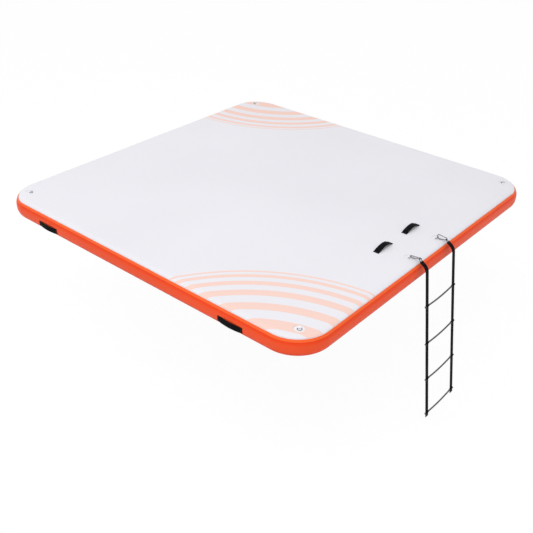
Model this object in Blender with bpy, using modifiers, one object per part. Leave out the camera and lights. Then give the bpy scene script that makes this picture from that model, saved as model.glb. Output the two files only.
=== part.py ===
"""Inflatable swim dock: a square drop-stitch platform with lifting rings, carry handles,
an inflation valve and a webbing boarding ladder hooked on over one side.

Metres, +Z up. The origin is the centre of the underside. The ladder hangs on the +X side,
and the long sides that carry the side handles face -Y and +Y.
"""

import math

import bmesh
import bpy
from mathutils import Matrix, Vector

# Fits shared by all pieces
SEAT_GAP = 0.0003  # between pieces that touch
RUN_CLEARANCE = 0.0003  # round a pin in its hole
CUT_OVERRUN = 0.01  # how far a cutter runs past what it cuts
WELD_DISTANCE = 0.00001  # points this close are one

# Platform
PLATFORM_WIDTH = 3.05  # 10 ft, over the side band
PLATFORM_THICKNESS = 0.152  # 6 in, over the two skins
PLAN_CORNER_RADIUS = 0.27
EDGE_RADIUS = 0.066  # rounding of the side band, seen in section
SKIN_THICKNESS = 0.0012
BAND_THICKNESS = 0.0012
TAPE_THICKNESS = 0.001
PAD_THICKNESS = 0.003
PLY_THICKNESS = 0.0012
THREAD_WIDTH = 0.006
THREAD_MARGIN = 0.09  # from the ply's straight edge to the first row of threads
THREAD_ROWS = 9
EDGE_ANGLES = (0, 11, 22, 33, 46, 50, 62, 74, 90)  # degrees round the edge from the flat top
PAD_EDGE_ANGLE = 33
TAPE_START_ANGLE = 46
BAND_EDGE_ANGLE = 50
SKIN_LAP_ANGLE = 74
CORNER_STEPS = 7

# Lifting rings, their tabs and patches
RING_WIRE = 0.004
RING_INNER_WIDTH = 0.025
RING_DEPTH = 0.0215  # bar to bow, between wire centres
RING_CORNER_RADIUS = 0.0035
TAB_WIDTH = 0.020
TAB_PLY = 0.0012
TAB_LEG = 0.024
PATCH_RADIUS = 0.036
PATCH_THICKNESS = 0.0012
PATCH_CLEARANCE = 0.001  # from a patch to the hole in the pad
CORNER_RING_INSET = 0.158  # from both sides of the platform
BOW_ANGLE = {"near": 315, "right": 135, "far": 225, "left": 45}  # degrees from +X

# Boarding ladder and its handles
LADDER_CENTRE_Y = -0.012
LADDER_SPACING = 0.372  # between rail centres, and between ring and deck handle centres
LADDER_LEAN = 8  # degrees from plumb, outwards
RAIL_WIDTH = 0.038
RAIL_THICKNESS = 0.004
RAIL_TAIL = 0.033  # below the last rung
FIRST_RUNG = 0.238  # along the rail from the ladder's hinge
RUNG_SPACING = 0.311
RUNG_COUNT = 4
RUNG_DIAMETER = 0.012
RUNG_SAG = 0.008
RUNG_COLLAR_RADIUS = 0.0078
RUNG_COLLAR_LENGTH = 0.002
EYE_WALL = 0.0016  # webbing round a rung
HINGE_GAP = 0.0008  # between the two straps at the ladder's hinge
STRAP_START_INSET = 0.006  # from the side of the platform to the start of the webbing
STRAP_START_RISE = 0.0067  # of the webbing's start above the pad
STRAP_START_SLOPE = 33  # degrees below level
STRAP_STRAIGHT = 0.028
STRAP_BEND_RADIUS = 0.075
STRAP_DROP = 0.03  # from the end of the bend to the ladder's hinge
LOOP_CORD = 0.005
LOOP_SLACK = 0.0012
LOOP_SIDE_GAP = 0.0009
LOOP_BURIED = 0.006  # length of each leg sewn into the strap
LOOP_REACH = 0.010  # level distance from a hook's narrow end to the start of the strap
LOOP_SEAT_ANGLE = 45  # where the loop lies in the narrow bend, degrees below the hook's axis

# Snap hooks
HOOK_LENGTH = 0.086
HOOK_WIDTH = 0.040
HOOK_NARROW_WIDTH = 0.025
HOOK_WIRE = 0.007
HOOK_TONGUE = 0.0026
HOOK_TONGUE_WIDTH = 0.0056
GATE_DIAMETER = 0.0062
GATE_PIN = 0.0024
GATE_TIP_GAP = 0.0005
GATE_PIVOT_SETBACK = 0.009  # from the end of the narrow bend to the gate's pin
NOSE_LENGTH = 0.007  # straight wire between the wide bend and the gate's tip
HOOK_RING_CLEARANCE = 0.0004
HOOK_ROLL = {"left": 38, "right": 0}  # degrees from upright, towards -Y
HOOK_TILT = {"left": 10, "right": 3}  # degrees that the narrow end rises
HOOK_SEAT_ANGLE = {"left": 0, "right": 45}  # where the ring's bow lies in the wide bend

# Handles
HANDLE_WIDTH = 0.046
HANDLE_THICKNESS = 0.003
HANDLE_FOOT = 0.014
HANDLE_FULLNESS = 1.2  # power of the grip's arch, lower for a fuller one
TOP_HANDLE_CENTRE_Y = -0.020
TOP_HANDLE_LENGTH = 0.19
TOP_HANDLE_RISE = 0.023
TOP_HANDLE_LEAN = 0.35  # share of half the grip that the arch's top lies towards +Y
TOP_HANDLE_INSET = 0.315  # from the ladder side of the platform to the handle's middle
SIDE_HANDLE_LENGTH = 0.21
SIDE_HANDLE_RISE = 0.012
SIDE_HANDLE_INSET = 0.59  # from the end of the side to the handle's middle
SIDE_HANDLE_DROP = 0.016  # below the middle of the wall

# Inflation valve
VALVE_Y = 0.0
VALVE_BARREL_RADIUS = 0.021
VALVE_WALL = 0.0045  # from the barrel's outside to its bore
VALVE_SEAT_LIP = 0.004  # from the bore in to the seat
VALVE_FLANGE_LIP = 0.0055  # beyond the barrel
VALVE_HOLE_CLEARANCE = 0.0005  # from the barrel to the hole in the side band
BOOT_MARGIN = 0.0027  # beyond the flange
BOOT_PROUD = 0.003  # its flat face, outside the side band
VALVE_FLANGE = 0.003
VALVE_COLLAR = 0.009
VALVE_DEPTH = 0.036
VALVE_FLOOR = 0.003
VALVE_HUB_RADIUS = 0.0062
VALVE_SPOKE = 0.003
NUT_WALL = 0.0052
NUT_THICKNESS = 0.007
STEM_RADIUS = 0.0022
STEM_BUTTON_RADIUS = 0.0055
STEM_BUTTON = 0.003
STEM_TRAVEL = 0.006
POPPET_LAP = 0.002  # beyond the seat
POPPET = 0.0025
SPRING_WIRE = 0.0008
SPRING_RADIUS = 0.0038
SPRING_TURNS = 5
SPRING_TURN_POINTS = 10
STEM_RECESS = 0.010  # from the collar's rim to the button
CAP_WALL = 0.002
CAP_SKIRT = 0.007
CAP_GRIP_WIDTH = 0.005
CAP_GRIP_HEIGHT = 0.007
GASKET_THICKNESS = 0.0015

# Sizes that follow from those above
HALF = PLATFORM_WIDTH / 2
SKIN_RADIUS = EDGE_RADIUS - BAND_THICKNESS - SEAT_GAP
FLAT_HALF = HALF - EDGE_RADIUS
FLAT_CORNER = PLAN_CORNER_RADIUS - EDGE_RADIUS
EDGE_CENTRE_Z = PLATFORM_THICKNESS - SKIN_RADIUS
PAD_TOP = PLATFORM_THICKNESS + SEAT_GAP + PAD_THICKNESS
PATCH_TOP = PLATFORM_THICKNESS + SEAT_GAP + PATCH_THICKNESS
STRAP_START_X = HALF - STRAP_START_INSET
STRAP_START_Z = PAD_TOP + STRAP_START_RISE
SIDE_HANDLE_X = HALF - SIDE_HANDLE_INSET
SIDE_HANDLE_Z = PLATFORM_THICKNESS / 2 - SIDE_HANDLE_DROP
RING_RADIUS = RING_WIRE / 2
TAB_HOLE_RADIUS = RING_RADIUS + RUN_CLEARANCE
TAB_OUTER_RADIUS = TAB_HOLE_RADIUS + TAB_PLY
RING_BAR_Z = PATCH_TOP + SEAT_GAP + TAB_OUTER_RADIUS
HOOK_RADIUS = HOOK_WIRE / 2
WIDE_RADIUS = HOOK_WIDTH / 2 - HOOK_RADIUS
NARROW_RADIUS = HOOK_NARROW_WIDTH / 2 - HOOK_RADIUS
HOOK_SPAN = HOOK_LENGTH - HOOK_WIDTH / 2 - HOOK_NARROW_WIDTH / 2
RING_PASS = WIDE_RADIUS - HOOK_RADIUS - RING_RADIUS - HOOK_RING_CLEARANCE
SIDE_Y = {
    "left": LADDER_CENTRE_Y - LADDER_SPACING / 2,
    "right": LADDER_CENTRE_Y + LADDER_SPACING / 2,
}
VALVE_Z = PLATFORM_THICKNESS / 2
VALVE_BORE_RADIUS = VALVE_BARREL_RADIUS - VALVE_WALL
VALVE_SEAT_RADIUS = VALVE_BORE_RADIUS - VALVE_SEAT_LIP
VALVE_FLANGE_RADIUS = VALVE_BARREL_RADIUS + VALVE_FLANGE_LIP
VALVE_HOLE_RADIUS = VALVE_BARREL_RADIUS + VALVE_HOLE_CLEARANCE
BOOT_RADIUS = VALVE_FLANGE_RADIUS + BOOT_MARGIN
NUT_HOLE_RADIUS = VALVE_BARREL_RADIUS + RUN_CLEARANCE
NUT_RADIUS = NUT_HOLE_RADIUS + NUT_WALL
POPPET_RADIUS = VALVE_SEAT_RADIUS + POPPET_LAP

FINISHES = {
    "deck_white": ((0.84, 0.83, 0.87, 1), 0.6, 0.0),
    "skin_white": ((0.86, 0.85, 0.88, 1), 0.45, 0.0),
    "band_orange": ((0.86, 0.13, 0.04, 1), 0.45, 0.0),
    "tape_orange": ((0.95, 0.17, 0.05, 1), 0.42, 0.0),
    "core_thread": ((0.80, 0.79, 0.74, 1), 0.9, 0.0),
    "webbing_black": ((0.010, 0.010, 0.013, 1), 0.8, 0.0),
    "rung_grey": ((0.07, 0.07, 0.075, 1), 0.55, 0.0),
    "steel": ((0.56, 0.57, 0.60, 1), 0.25, 1.0),
    "valve_grey": ((0.32, 0.33, 0.35, 1), 0.5, 0.0),
    "valve_black": ((0.02, 0.02, 0.022, 1), 0.5, 0.0),
}


def new_collection(name):
    collection = bpy.data.collections.new(name)
    bpy.context.scene.collection.children.link(collection)
    return collection


for stale in list(bpy.data.objects):
    bpy.data.objects.remove(stale, do_unlink=True)
PARTS = new_collection("inflatable_dock")
TOOLS = new_collection("cutters")


def finish(name):
    """The Principled material of a finish, made once."""
    found = bpy.data.materials.get(name)
    if found:
        return found
    colour, roughness, metallic = FINISHES[name]
    made = bpy.data.materials.new(name)
    made.use_nodes = True
    shader = made.node_tree.nodes["Principled BSDF"]
    shader.inputs["Base Color"].default_value = colour
    shader.inputs["Roughness"].default_value = roughness
    shader.inputs["Metallic"].default_value = metallic
    return made


def add_object(name, data, finish_name, matrix=None):
    piece = bpy.data.objects.new(name, data)
    PARTS.objects.link(piece)
    data.materials.append(finish(finish_name))
    piece.matrix_world = matrix or Matrix.Identity(4)
    return piece


def add_mesh(name, shape, finish_name, matrix=None, smooth_below=40):
    """An object from a bmesh, shaded smooth where its faces meet at a shallow angle."""
    bmesh.ops.recalc_face_normals(shape, faces=shape.faces)
    mesh = bpy.data.meshes.new(name)
    shape.to_mesh(mesh)
    shape.free()
    mesh.shade_smooth()
    mesh.set_sharp_from_angle(angle=math.radians(smooth_below))
    return add_object(name, mesh, finish_name, matrix)


def as_tool(piece):
    """Marks an object as a cutter or a shape that is joined to another."""
    PARTS.objects.unlink(piece)
    TOOLS.objects.link(piece)
    piece.hide_render = True
    piece.display_type = "WIRE"
    return piece


def boolean(piece, tool, operation):
    modifier = piece.modifiers.new(tool.name, "BOOLEAN")
    modifier.operation = operation
    modifier.solver = "EXACT"
    modifier.object = tool


def cut(piece, *tools):
    for tool in tools:
        boolean(piece, tool, "DIFFERENCE")


def join(piece, *tools):
    for tool in tools:
        boolean(piece, as_tool(tool), "UNION")


def frame(origin, along, up):
    """A matrix whose X runs along the first direction and whose Z leans towards the second."""
    x_axis = Vector(along).normalized()
    y_axis = Vector(up).cross(x_axis).normalized()
    z_axis = x_axis.cross(y_axis)
    turned = Matrix((x_axis, y_axis, z_axis)).transposed().to_4x4()
    return Matrix.Translation(Vector(origin)) @ turned


def cylinder(name, radius, start, end, finish_name, sides=24):
    """A cylinder between two points."""
    start, end = Vector(start), Vector(end)
    shape = bmesh.new()
    bmesh.ops.create_cone(
        shape,
        cap_ends=True,
        segments=sides,
        radius1=radius,
        radius2=radius,
        depth=(end - start).length,
    )
    turn = Vector((0, 0, 1)).rotation_difference(end - start).to_matrix().to_4x4()
    return add_mesh(name, shape, finish_name, Matrix.Translation((start + end) / 2) @ turn)


def block(name, size, centre, finish_name, matrix=None):
    """A box of the given size, about a centre in the matrix's frame."""
    shape = bmesh.new()
    bmesh.ops.create_cube(shape, size=1)
    bmesh.ops.scale(shape, vec=size, verts=shape.verts)
    bmesh.ops.translate(shape, vec=centre, verts=shape.verts)
    return add_mesh(name, shape, finish_name, matrix)


def tube(name, points, radius, finish_name, closed=False, matrix=None, resolution=2):
    """A round wire or cord along a run of points."""
    curve = bpy.data.curves.new(name, "CURVE")
    curve.dimensions = "3D"
    curve.bevel_depth = radius
    curve.bevel_resolution = resolution
    curve.use_fill_caps = True
    spline = curve.splines.new("POLY")
    spline.points.add(len(points) - 1)
    for place, point in zip(spline.points, points):
        place.co = (*point, 1)
    spline.use_cyclic_u = closed
    return add_object(name, curve, finish_name, matrix)


def as_mesh(piece):
    """The same object with its curve made a closed mesh, so that it can be cut or joined."""
    evaluated = piece.evaluated_get(bpy.context.evaluated_depsgraph_get())
    mesh = bpy.data.meshes.new_from_object(evaluated)
    shape = bmesh.new()
    shape.from_mesh(mesh)
    bmesh.ops.remove_doubles(shape, verts=shape.verts, dist=WELD_DISTANCE)
    bmesh.ops.recalc_face_normals(shape, faces=shape.faces)
    shape.to_mesh(mesh)
    shape.free()
    name, matrix = piece.name, piece.matrix_world.copy()
    bpy.data.objects.remove(piece, do_unlink=True)
    solid = bpy.data.objects.new(name, mesh)
    PARTS.objects.link(solid)
    solid.matrix_world = matrix
    return solid


def outline_solid(name, outlines, thickness, finish_name, matrix):
    """A flat outline, with any holes, given a thickness across its plane."""
    curve = bpy.data.curves.new(name, "CURVE")
    curve.dimensions = "2D"
    curve.fill_mode = "BOTH"
    curve.extrude = thickness / 2
    for outline in outlines:
        spline = curve.splines.new("POLY")
        spline.points.add(len(outline) - 1)
        for place, (x, y) in zip(spline.points, outline):
            place.co = (x, y, 0, 1)
        spline.use_cyclic_u = True
    return add_object(name, curve, finish_name, matrix)


def arc(centre, radius, start, end, steps):
    """Points of an arc in a plane, from one angle in degrees to another."""
    angles = [math.radians(start + (end - start) * k / steps) for k in range(steps + 1)]
    return [
        (centre[0] + radius * math.cos(a), centre[1] + radius * math.sin(a))
        for a in angles
    ]


def strap(name, path, width, thickness, finish_name, matrix):
    """Webbing along a path in the matrix's XZ plane, its width lying along Y."""
    places = [Vector(p) for p in path]
    shape = bmesh.new()
    sections = []
    for k, place in enumerate(places):
        before = places[max(k - 1, 0)]
        after = places[min(k + 1, len(places) - 1)]
        run = (after - before).normalized()
        side = Vector((-run.y, run.x)) * thickness / 2
        section = []
        for across, offset in ((-1, side), (1, side), (1, -side), (-1, -side)):
            at = place + offset
            section.append(shape.verts.new((at.x, across * width / 2, at.y)))
        sections.append(section)
    for first, second in zip(sections, sections[1:]):
        for k in range(4):
            shape.faces.new((first[k], first[k - 1], second[k - 1], second[k]))
    shape.faces.new(sections[0])
    shape.faces.new(sections[-1])
    return add_mesh(name, shape, finish_name, matrix)


def turned(name, profile, finish_name, matrix, steps=32):
    """A closed profile of radius and height turned about the matrix's Z axis."""
    shape = bmesh.new()
    corners = [shape.verts.new((radius, 0, height)) for radius, height in profile]
    for first, second in zip(corners, corners[1:]):
        shape.edges.new((first, second))
    mesh = bpy.data.meshes.new(name)
    shape.to_mesh(mesh)
    shape.free()
    piece = add_object(name, mesh, finish_name, matrix)
    screw = piece.modifiers.new("turn", "SCREW")
    screw.steps = steps
    screw.render_steps = steps
    screw.use_merge_vertices = True
    screw.merge_threshold = WELD_DISTANCE
    return piece


# Platform


def plan(offset):
    """The platform's rounded-square plan, a distance outside the edge of its flat top."""
    centre = FLAT_HALF - FLAT_CORNER
    points = []
    for corner, (sx, sy) in enumerate(((1, 1), (-1, 1), (-1, -1), (1, -1))):
        for step in range(CORNER_STEPS + 1):
            angle = (corner + step / CORNER_STEPS) * math.pi / 2
            reach = FLAT_CORNER + offset
            x = sx * centre + reach * math.cos(angle)
            y = sy * centre + reach * math.sin(angle)
            points.append((x, y))
    return points


def edge(radius, start, end):
    """Stations of (offset, height) round the upper edge, between two of its angles."""
    low, high = sorted((start, end))
    angles = [math.radians(a) for a in EDGE_ANGLES if low <= a <= high]
    stations = [(radius * math.sin(a), EDGE_CENTRE_Z + radius * math.cos(a)) for a in angles]
    return stations if start < end else stations[::-1]


def mirrored(stations):
    """The same stations round the lower edge."""
    return [(offset, PLATFORM_THICKNESS - height) for offset, height in stations]


def swept(name, stations, finish_name, closed):
    """A solid whose section runs through the stations, carried round the platform's plan."""
    shape = bmesh.new()
    rings = [
        [shape.verts.new((x, y, height)) for x, y in plan(offset)]
        for offset, height in stations
    ]
    following = rings[1:] + rings[:1] if closed else rings[1:]
    for ring, after in zip(rings, following):
        for k in range(len(ring)):
            shape.faces.new((ring[k - 1], ring[k], after[k], after[k - 1]))
    if not closed:
        shape.faces.new(rings[0])
        shape.faces.new(rings[-1])
    return add_mesh(name, shape, finish_name, smooth_below=50)


def dish(inner, outer, angle):
    """Stations of a sheet that lies on the flat top and turns down round the edge."""
    return edge(outer, 0, angle) + edge(inner, angle, 0)


def band(inner, outer):
    """Stations of the side band, from its upper lap round the wall to its lower lap."""
    outside = edge(outer, BAND_EDGE_ANGLE, 90)
    inside = edge(inner, BAND_EDGE_ANGLE, 90)
    return outside + mirrored(outside[::-1]) + mirrored(inside) + inside[::-1]


def make_platform():
    skin = dish(SKIN_RADIUS - SKIN_THICKNESS, SKIN_RADIUS, SKIN_LAP_ANGLE)
    swept("top_skin", skin, "skin_white", closed=False)
    swept("bottom_skin", mirrored(skin), "skin_white", closed=False)
    side = swept(
        "side_band", band(EDGE_RADIUS - BAND_THICKNESS, EDGE_RADIUS), "band_orange", True
    )
    cut(side, valve_hole())
    inner = EDGE_RADIUS + SEAT_GAP
    tape = edge(inner + TAPE_THICKNESS, TAPE_START_ANGLE, SKIN_LAP_ANGLE)
    tape += edge(inner, SKIN_LAP_ANGLE, TAPE_START_ANGLE)
    room = boot_room()
    cut(swept("upper_seam_tape", tape, "tape_orange", closed=True), room)
    cut(swept("lower_seam_tape", mirrored(tape), "tape_orange", closed=True), room)
    pad_inner = SKIN_RADIUS + SEAT_GAP
    pad = swept(
        "deck_pad",
        dish(pad_inner, pad_inner + PAD_THICKNESS, PAD_EDGE_ANGLE),
        "deck_white",
        closed=False,
    )
    for name, (x, y, _) in ring_places().items():
        low = PLATFORM_THICKNESS - CUT_OVERRUN
        high = PAD_TOP + CUT_OVERRUN
        radius = PATCH_RADIUS + PATCH_CLEARANCE
        hole = cylinder(f"{name}_pad_hole", radius, (x, y, low), (x, y, high), "deck_white")
        cut(pad, as_tool(hole))


def make_core():
    """Two woven plies held a set distance apart by rows of threads."""
    top = PLATFORM_THICKNESS - SKIN_THICKNESS - SEAT_GAP
    low = SKIN_THICKNESS + SEAT_GAP
    ply_size = (2 * FLAT_HALF, 2 * FLAT_HALF, PLY_THICKNESS)
    upper = swept(
        "drop_stitch_core", [(0, top), (0, top - PLY_THICKNESS)], "core_thread", False
    )
    lower = swept("lower_ply", [(0, low + PLY_THICKNESS), (0, low)], "core_thread", False)
    first = THREAD_MARGIN - ply_size[0] / 2
    pitch = -2 * first / (THREAD_ROWS - 1)
    height = top - low - PLY_THICKNESS
    shape = bmesh.new()
    for row in range(THREAD_ROWS):
        for column in range(THREAD_ROWS):
            place = (first + row * pitch, first + column * pitch, (top + low) / 2)
            made = bmesh.ops.create_cube(shape, size=1)["verts"]
            bmesh.ops.scale(shape, vec=(THREAD_WIDTH, THREAD_WIDTH, height), verts=made)
            bmesh.ops.translate(shape, vec=place, verts=made)
    threads = add_mesh("threads", shape, "core_thread")
    join(upper, threads, lower)


# Lifting rings


def ring_places():
    """Each ring's name with the middle of its bar's patch and the way that its bow points."""
    reach = HALF - CORNER_RING_INSET
    corners = {"near": (1, -1), "right": (1, 1), "far": (-1, 1), "left": (-1, -1)}
    places = {
        f"{name}_corner": (sx * reach, sy * reach, BOW_ANGLE[name])
        for name, (sx, sy) in corners.items()
    }
    for side, y in SIDE_Y.items():
        places[f"ladder_{side}"] = (ladder_bar_x(side), y, 0)
    return places


def hook_turn(side):
    """The hook's frame turned: X to its narrow end, Z to its gate."""
    tilt = Matrix.Rotation(-math.radians(HOOK_TILT[side]), 3, "Y")
    roll = Matrix.Rotation(math.radians(HOOK_ROLL[side]), 3, "X")
    return tilt @ roll


def hook_centre(side):
    """The wide bend's centre, with its wire resting on the pad and its end near the strap."""
    tilt, roll = math.radians(HOOK_TILT[side]), math.radians(HOOK_ROLL[side])
    lowest = math.hypot(math.sin(tilt), math.cos(tilt) * math.cos(roll))
    reach = (HOOK_SPAN + NARROW_RADIUS) * math.cos(tilt) + LOOP_REACH
    height = PAD_TOP + SEAT_GAP + HOOK_RADIUS + WIDE_RADIUS * lowest
    return Vector((STRAP_START_X - reach, SIDE_Y[side], height))


def ladder_bow(side):
    """Where the ring's bow passes through the hook."""
    seat = math.radians(HOOK_SEAT_ANGLE[side])
    inside = Vector((-RING_PASS * math.cos(seat), 0, -RING_PASS * math.sin(seat)))
    return hook_centre(side) + hook_turn(side) @ inside


def ladder_ring_tilt(side):
    """Angle in radians that the hook holds its ring up from the deck."""
    return math.asin((ladder_bow(side).z - RING_BAR_Z) / RING_DEPTH)


def ladder_bar_x(side):
    return ladder_bow(side).x - RING_DEPTH * math.cos(ladder_ring_tilt(side))


def ring_path():
    """The ring's wire: a straight bar along Y and a round bow towards +X."""
    half = (RING_INNER_WIDTH + RING_WIRE) / 2
    radius = RING_CORNER_RADIUS
    lower = arc((radius, radius - half), radius, 180, 270, 2)
    bow = arc((RING_DEPTH - half, 0), half, -90, 90, 8)
    upper = arc((radius, half - radius), radius, 90, 180, 2)
    return [(x, y, 0) for x, y in lower + bow + upper]


def tab_outlines():
    """Webbing folded round the bar, its two plies running back under the ring."""
    radius, flat = TAB_OUTER_RADIUS, TAB_OUTER_RADIUS - 2 * TAB_PLY
    join_angle = 180 + math.degrees(math.asin(flat / radius))
    wrap = arc((0, 0), radius, -90, join_angle, 12)
    leg = [(-TAB_LEG, -flat), (-TAB_LEG, -radius)]
    hole = arc((0, 0), TAB_HOLE_RADIUS, 0, 330, 11)
    return [wrap + leg, hole]


def make_rings():
    for name, (x, y, bow) in ring_places().items():
        low = PLATFORM_THICKNESS + SEAT_GAP
        turn = Matrix.Rotation(math.radians(bow), 4, "Z")
        cylinder(f"{name}_patch", PATCH_RADIUS, (x, y, low), (x, y, PATCH_TOP), "skin_white")
        bar = Matrix.Translation((x, y, RING_BAR_Z)) @ turn
        upright = Matrix.Rotation(math.pi / 2, 4, "X")
        outline_solid(
            f"{name}_tab", tab_outlines(), TAB_WIDTH, "skin_white", bar @ upright
        )
        tilt = -math.asin((TAB_OUTER_RADIUS - RING_RADIUS) / RING_DEPTH)
        if name.startswith("ladder"):
            tilt = ladder_ring_tilt(name.removeprefix("ladder_"))
        lift = Matrix.Rotation(-tilt, 4, "Y")
        tube(f"{name}_ring", ring_path(), RING_RADIUS, "steel", True, bar @ lift)


# Snap hooks


def hook_matrix(side):
    """The hook's frame, with its origin at the wide bend's centre."""
    return Matrix.Translation(hook_centre(side)) @ hook_turn(side).to_4x4()


def gate_line():
    """Start, unit direction and normal of the gate's side, from the wide bend outwards."""
    slope = math.asin((WIDE_RADIUS - NARROW_RADIUS) / HOOK_SPAN)
    outward = Vector((math.sin(slope), math.cos(slope)))
    along = Vector((math.cos(slope), -math.sin(slope)))
    length = HOOK_SPAN * math.cos(slope)
    return outward * WIDE_RADIUS, along, slope, length


def hook_wire():
    """The body's wire, from the gate's tongue round both bends to the nose."""
    start, along, slope, length = gate_line()
    clear = 90 - math.degrees(slope)
    narrow = arc((HOOK_SPAN, 0), NARROW_RADIUS, clear, -clear, 8)
    wide = arc((0, 0), WIDE_RADIUS, -clear, clear - 360, 12)
    nose = start + along * NOSE_LENGTH
    points = narrow + wide + [tuple(nose)]
    return [(x, 0, z) for x, z in points]


def gate_pivot():
    start, along, _, length = gate_line()
    place = start + along * (length - GATE_PIVOT_SETBACK)
    return Vector((place.x, 0, place.y)), Vector((along.x, 0, along.y))


def make_hook(side):
    matrix = hook_matrix(side)
    pivot, along = gate_pivot()
    body = as_mesh(
        tube(f"hook_{side}_body", hook_wire(), HOOK_RADIUS, "steel", matrix=matrix)
    )
    local = frame(pivot, along, (0, 0, 1))
    tongue = block(
        f"hook_{side}_tongue",
        (GATE_PIVOT_SETBACK, HOOK_TONGUE, HOOK_TONGUE_WIDTH),
        (GATE_PIVOT_SETBACK / 2, 0, 0),
        "steel",
        matrix @ local,
    )
    across = Vector((0, 1, 0))
    knuckle = cylinder(
        f"hook_{side}_knuckle",
        HOOK_TONGUE_WIDTH / 2,
        matrix @ (pivot - across * HOOK_TONGUE / 2),
        matrix @ (pivot + across * HOOK_TONGUE / 2),
        "steel",
        16,
    )
    join(body, tongue, knuckle)
    reach = across * (HOOK_TONGUE / 2 + CUT_OVERRUN)
    hole = cylinder(
        f"hook_{side}_pin_hole",
        GATE_PIN / 2 + RUN_CLEARANCE,
        matrix @ (pivot - reach),
        matrix @ (pivot + reach),
        "steel",
        12,
    )
    cut(body, as_tool(hole))
    make_gate(side, matrix, pivot, along)


def make_gate(side, matrix, pivot, along):
    """The sprung gate: a rod forked round the tongue, with its pin through both ears."""
    _, _, _, length = gate_line()
    reach = length - GATE_PIVOT_SETBACK - NOSE_LENGTH - GATE_TIP_GAP
    ear = GATE_DIAMETER / 2
    gate = cylinder(
        f"hook_{side}_gate",
        ear,
        matrix @ (pivot + along * ear),
        matrix @ (pivot - along * reach),
        "steel",
        12,
    )
    slot = HOOK_TONGUE + 2 * SEAT_GAP
    depth = HOOK_TONGUE_WIDTH / 2 + 2 * SEAT_GAP
    mouth = block(
        f"hook_{side}_slot",
        (depth + ear + CUT_OVERRUN, slot, 2 * CUT_OVERRUN),
        ((ear + CUT_OVERRUN - depth) / 2, 0, 0),
        "steel",
        matrix @ frame(pivot, along, (0, 0, 1)),
    )
    cut(gate, as_tool(mouth))
    half_pin = Vector((0, 1, 0)) * (ear - SEAT_GAP)
    pin = cylinder(
        f"hook_{side}_pin",
        GATE_PIN / 2,
        matrix @ (pivot - half_pin),
        matrix @ (pivot + half_pin),
        "steel",
        12,
    )
    join(gate, pin)


# Boarding ladder


def strap_path():
    """The webbing from the hook, out over the edge and down to the ladder's hinge."""
    slope = math.radians(STRAP_START_SLOPE)
    start = Vector((STRAP_START_X, STRAP_START_Z))
    heading = Vector((math.cos(slope), -math.sin(slope)))
    bend_start = start + heading * STRAP_STRAIGHT
    inward = Vector((-math.sin(slope), -math.cos(slope)))
    centre = bend_start + inward * STRAP_BEND_RADIUS
    bend = arc(centre, STRAP_BEND_RADIUS, 90 - STRAP_START_SLOPE, LADDER_LEAN, 7)
    down = ladder_down()
    end = Vector(bend[-1]) + Vector((down.x, down.z)) * STRAP_DROP
    return [tuple(start)] + bend + [tuple(end)]


def ladder_down():
    """Unit direction in which the rails hang."""
    lean = math.radians(LADDER_LEAN)
    return Vector((math.sin(lean), 0, -math.cos(lean)))


def ladder_hinge():
    """Where the straps' centre line meets the ladder's hinge."""
    x, z = strap_path()[-1]
    return Vector((x, 0, z)) + ladder_down() * (HINGE_GAP / 2)


def loop_path(side):
    """A cord loop round the hook's narrow end, both legs running into the strap."""
    seat = math.radians(LOOP_SEAT_ANGLE)
    bend = Vector((math.cos(seat), 0, -math.sin(seat))) * NARROW_RADIUS
    tip = hook_matrix(side) @ (Vector((HOOK_SPAN, 0, 0)) + bend)
    start = Vector((STRAP_START_X, SIDE_Y[side], STRAP_START_Z))
    run = start - tip
    along = run.normalized()
    wire_half = HOOK_RADIUS / math.cos(math.radians(HOOK_ROLL[side]))
    half = wire_half + LOOP_SIDE_GAP + LOOP_CORD / 2
    apex = HOOK_RADIUS + LOOP_SLACK + LOOP_CORD / 2
    bend = arc((min(half - apex, 0), 0), half, 90, 270, 8)
    squeeze = apex / half if half > apex else 1.0
    local = [(run.length + LOOP_BURIED, half)]
    local += [(x * squeeze, y) for x, y in bend]
    local += [(run.length + LOOP_BURIED, -half)]
    place = frame(tip, along, (0, 0, 1))
    return [place @ Vector((x, y, 0)) for x, y in local]


def make_straps():
    for side, y in SIDE_Y.items():
        matrix = Matrix.Translation((0, y, 0))
        piece = strap(
            f"strap_{side}",
            strap_path(),
            RAIL_WIDTH,
            RAIL_THICKNESS,
            "webbing_black",
            matrix,
        )
        loop = tube(f"loop_{side}", loop_path(side), LOOP_CORD / 2, "webbing_black")
        join(piece, as_mesh(loop))


def eye_radius():
    return RUNG_DIAMETER / 2 + RUN_CLEARANCE + EYE_WALL


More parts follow.
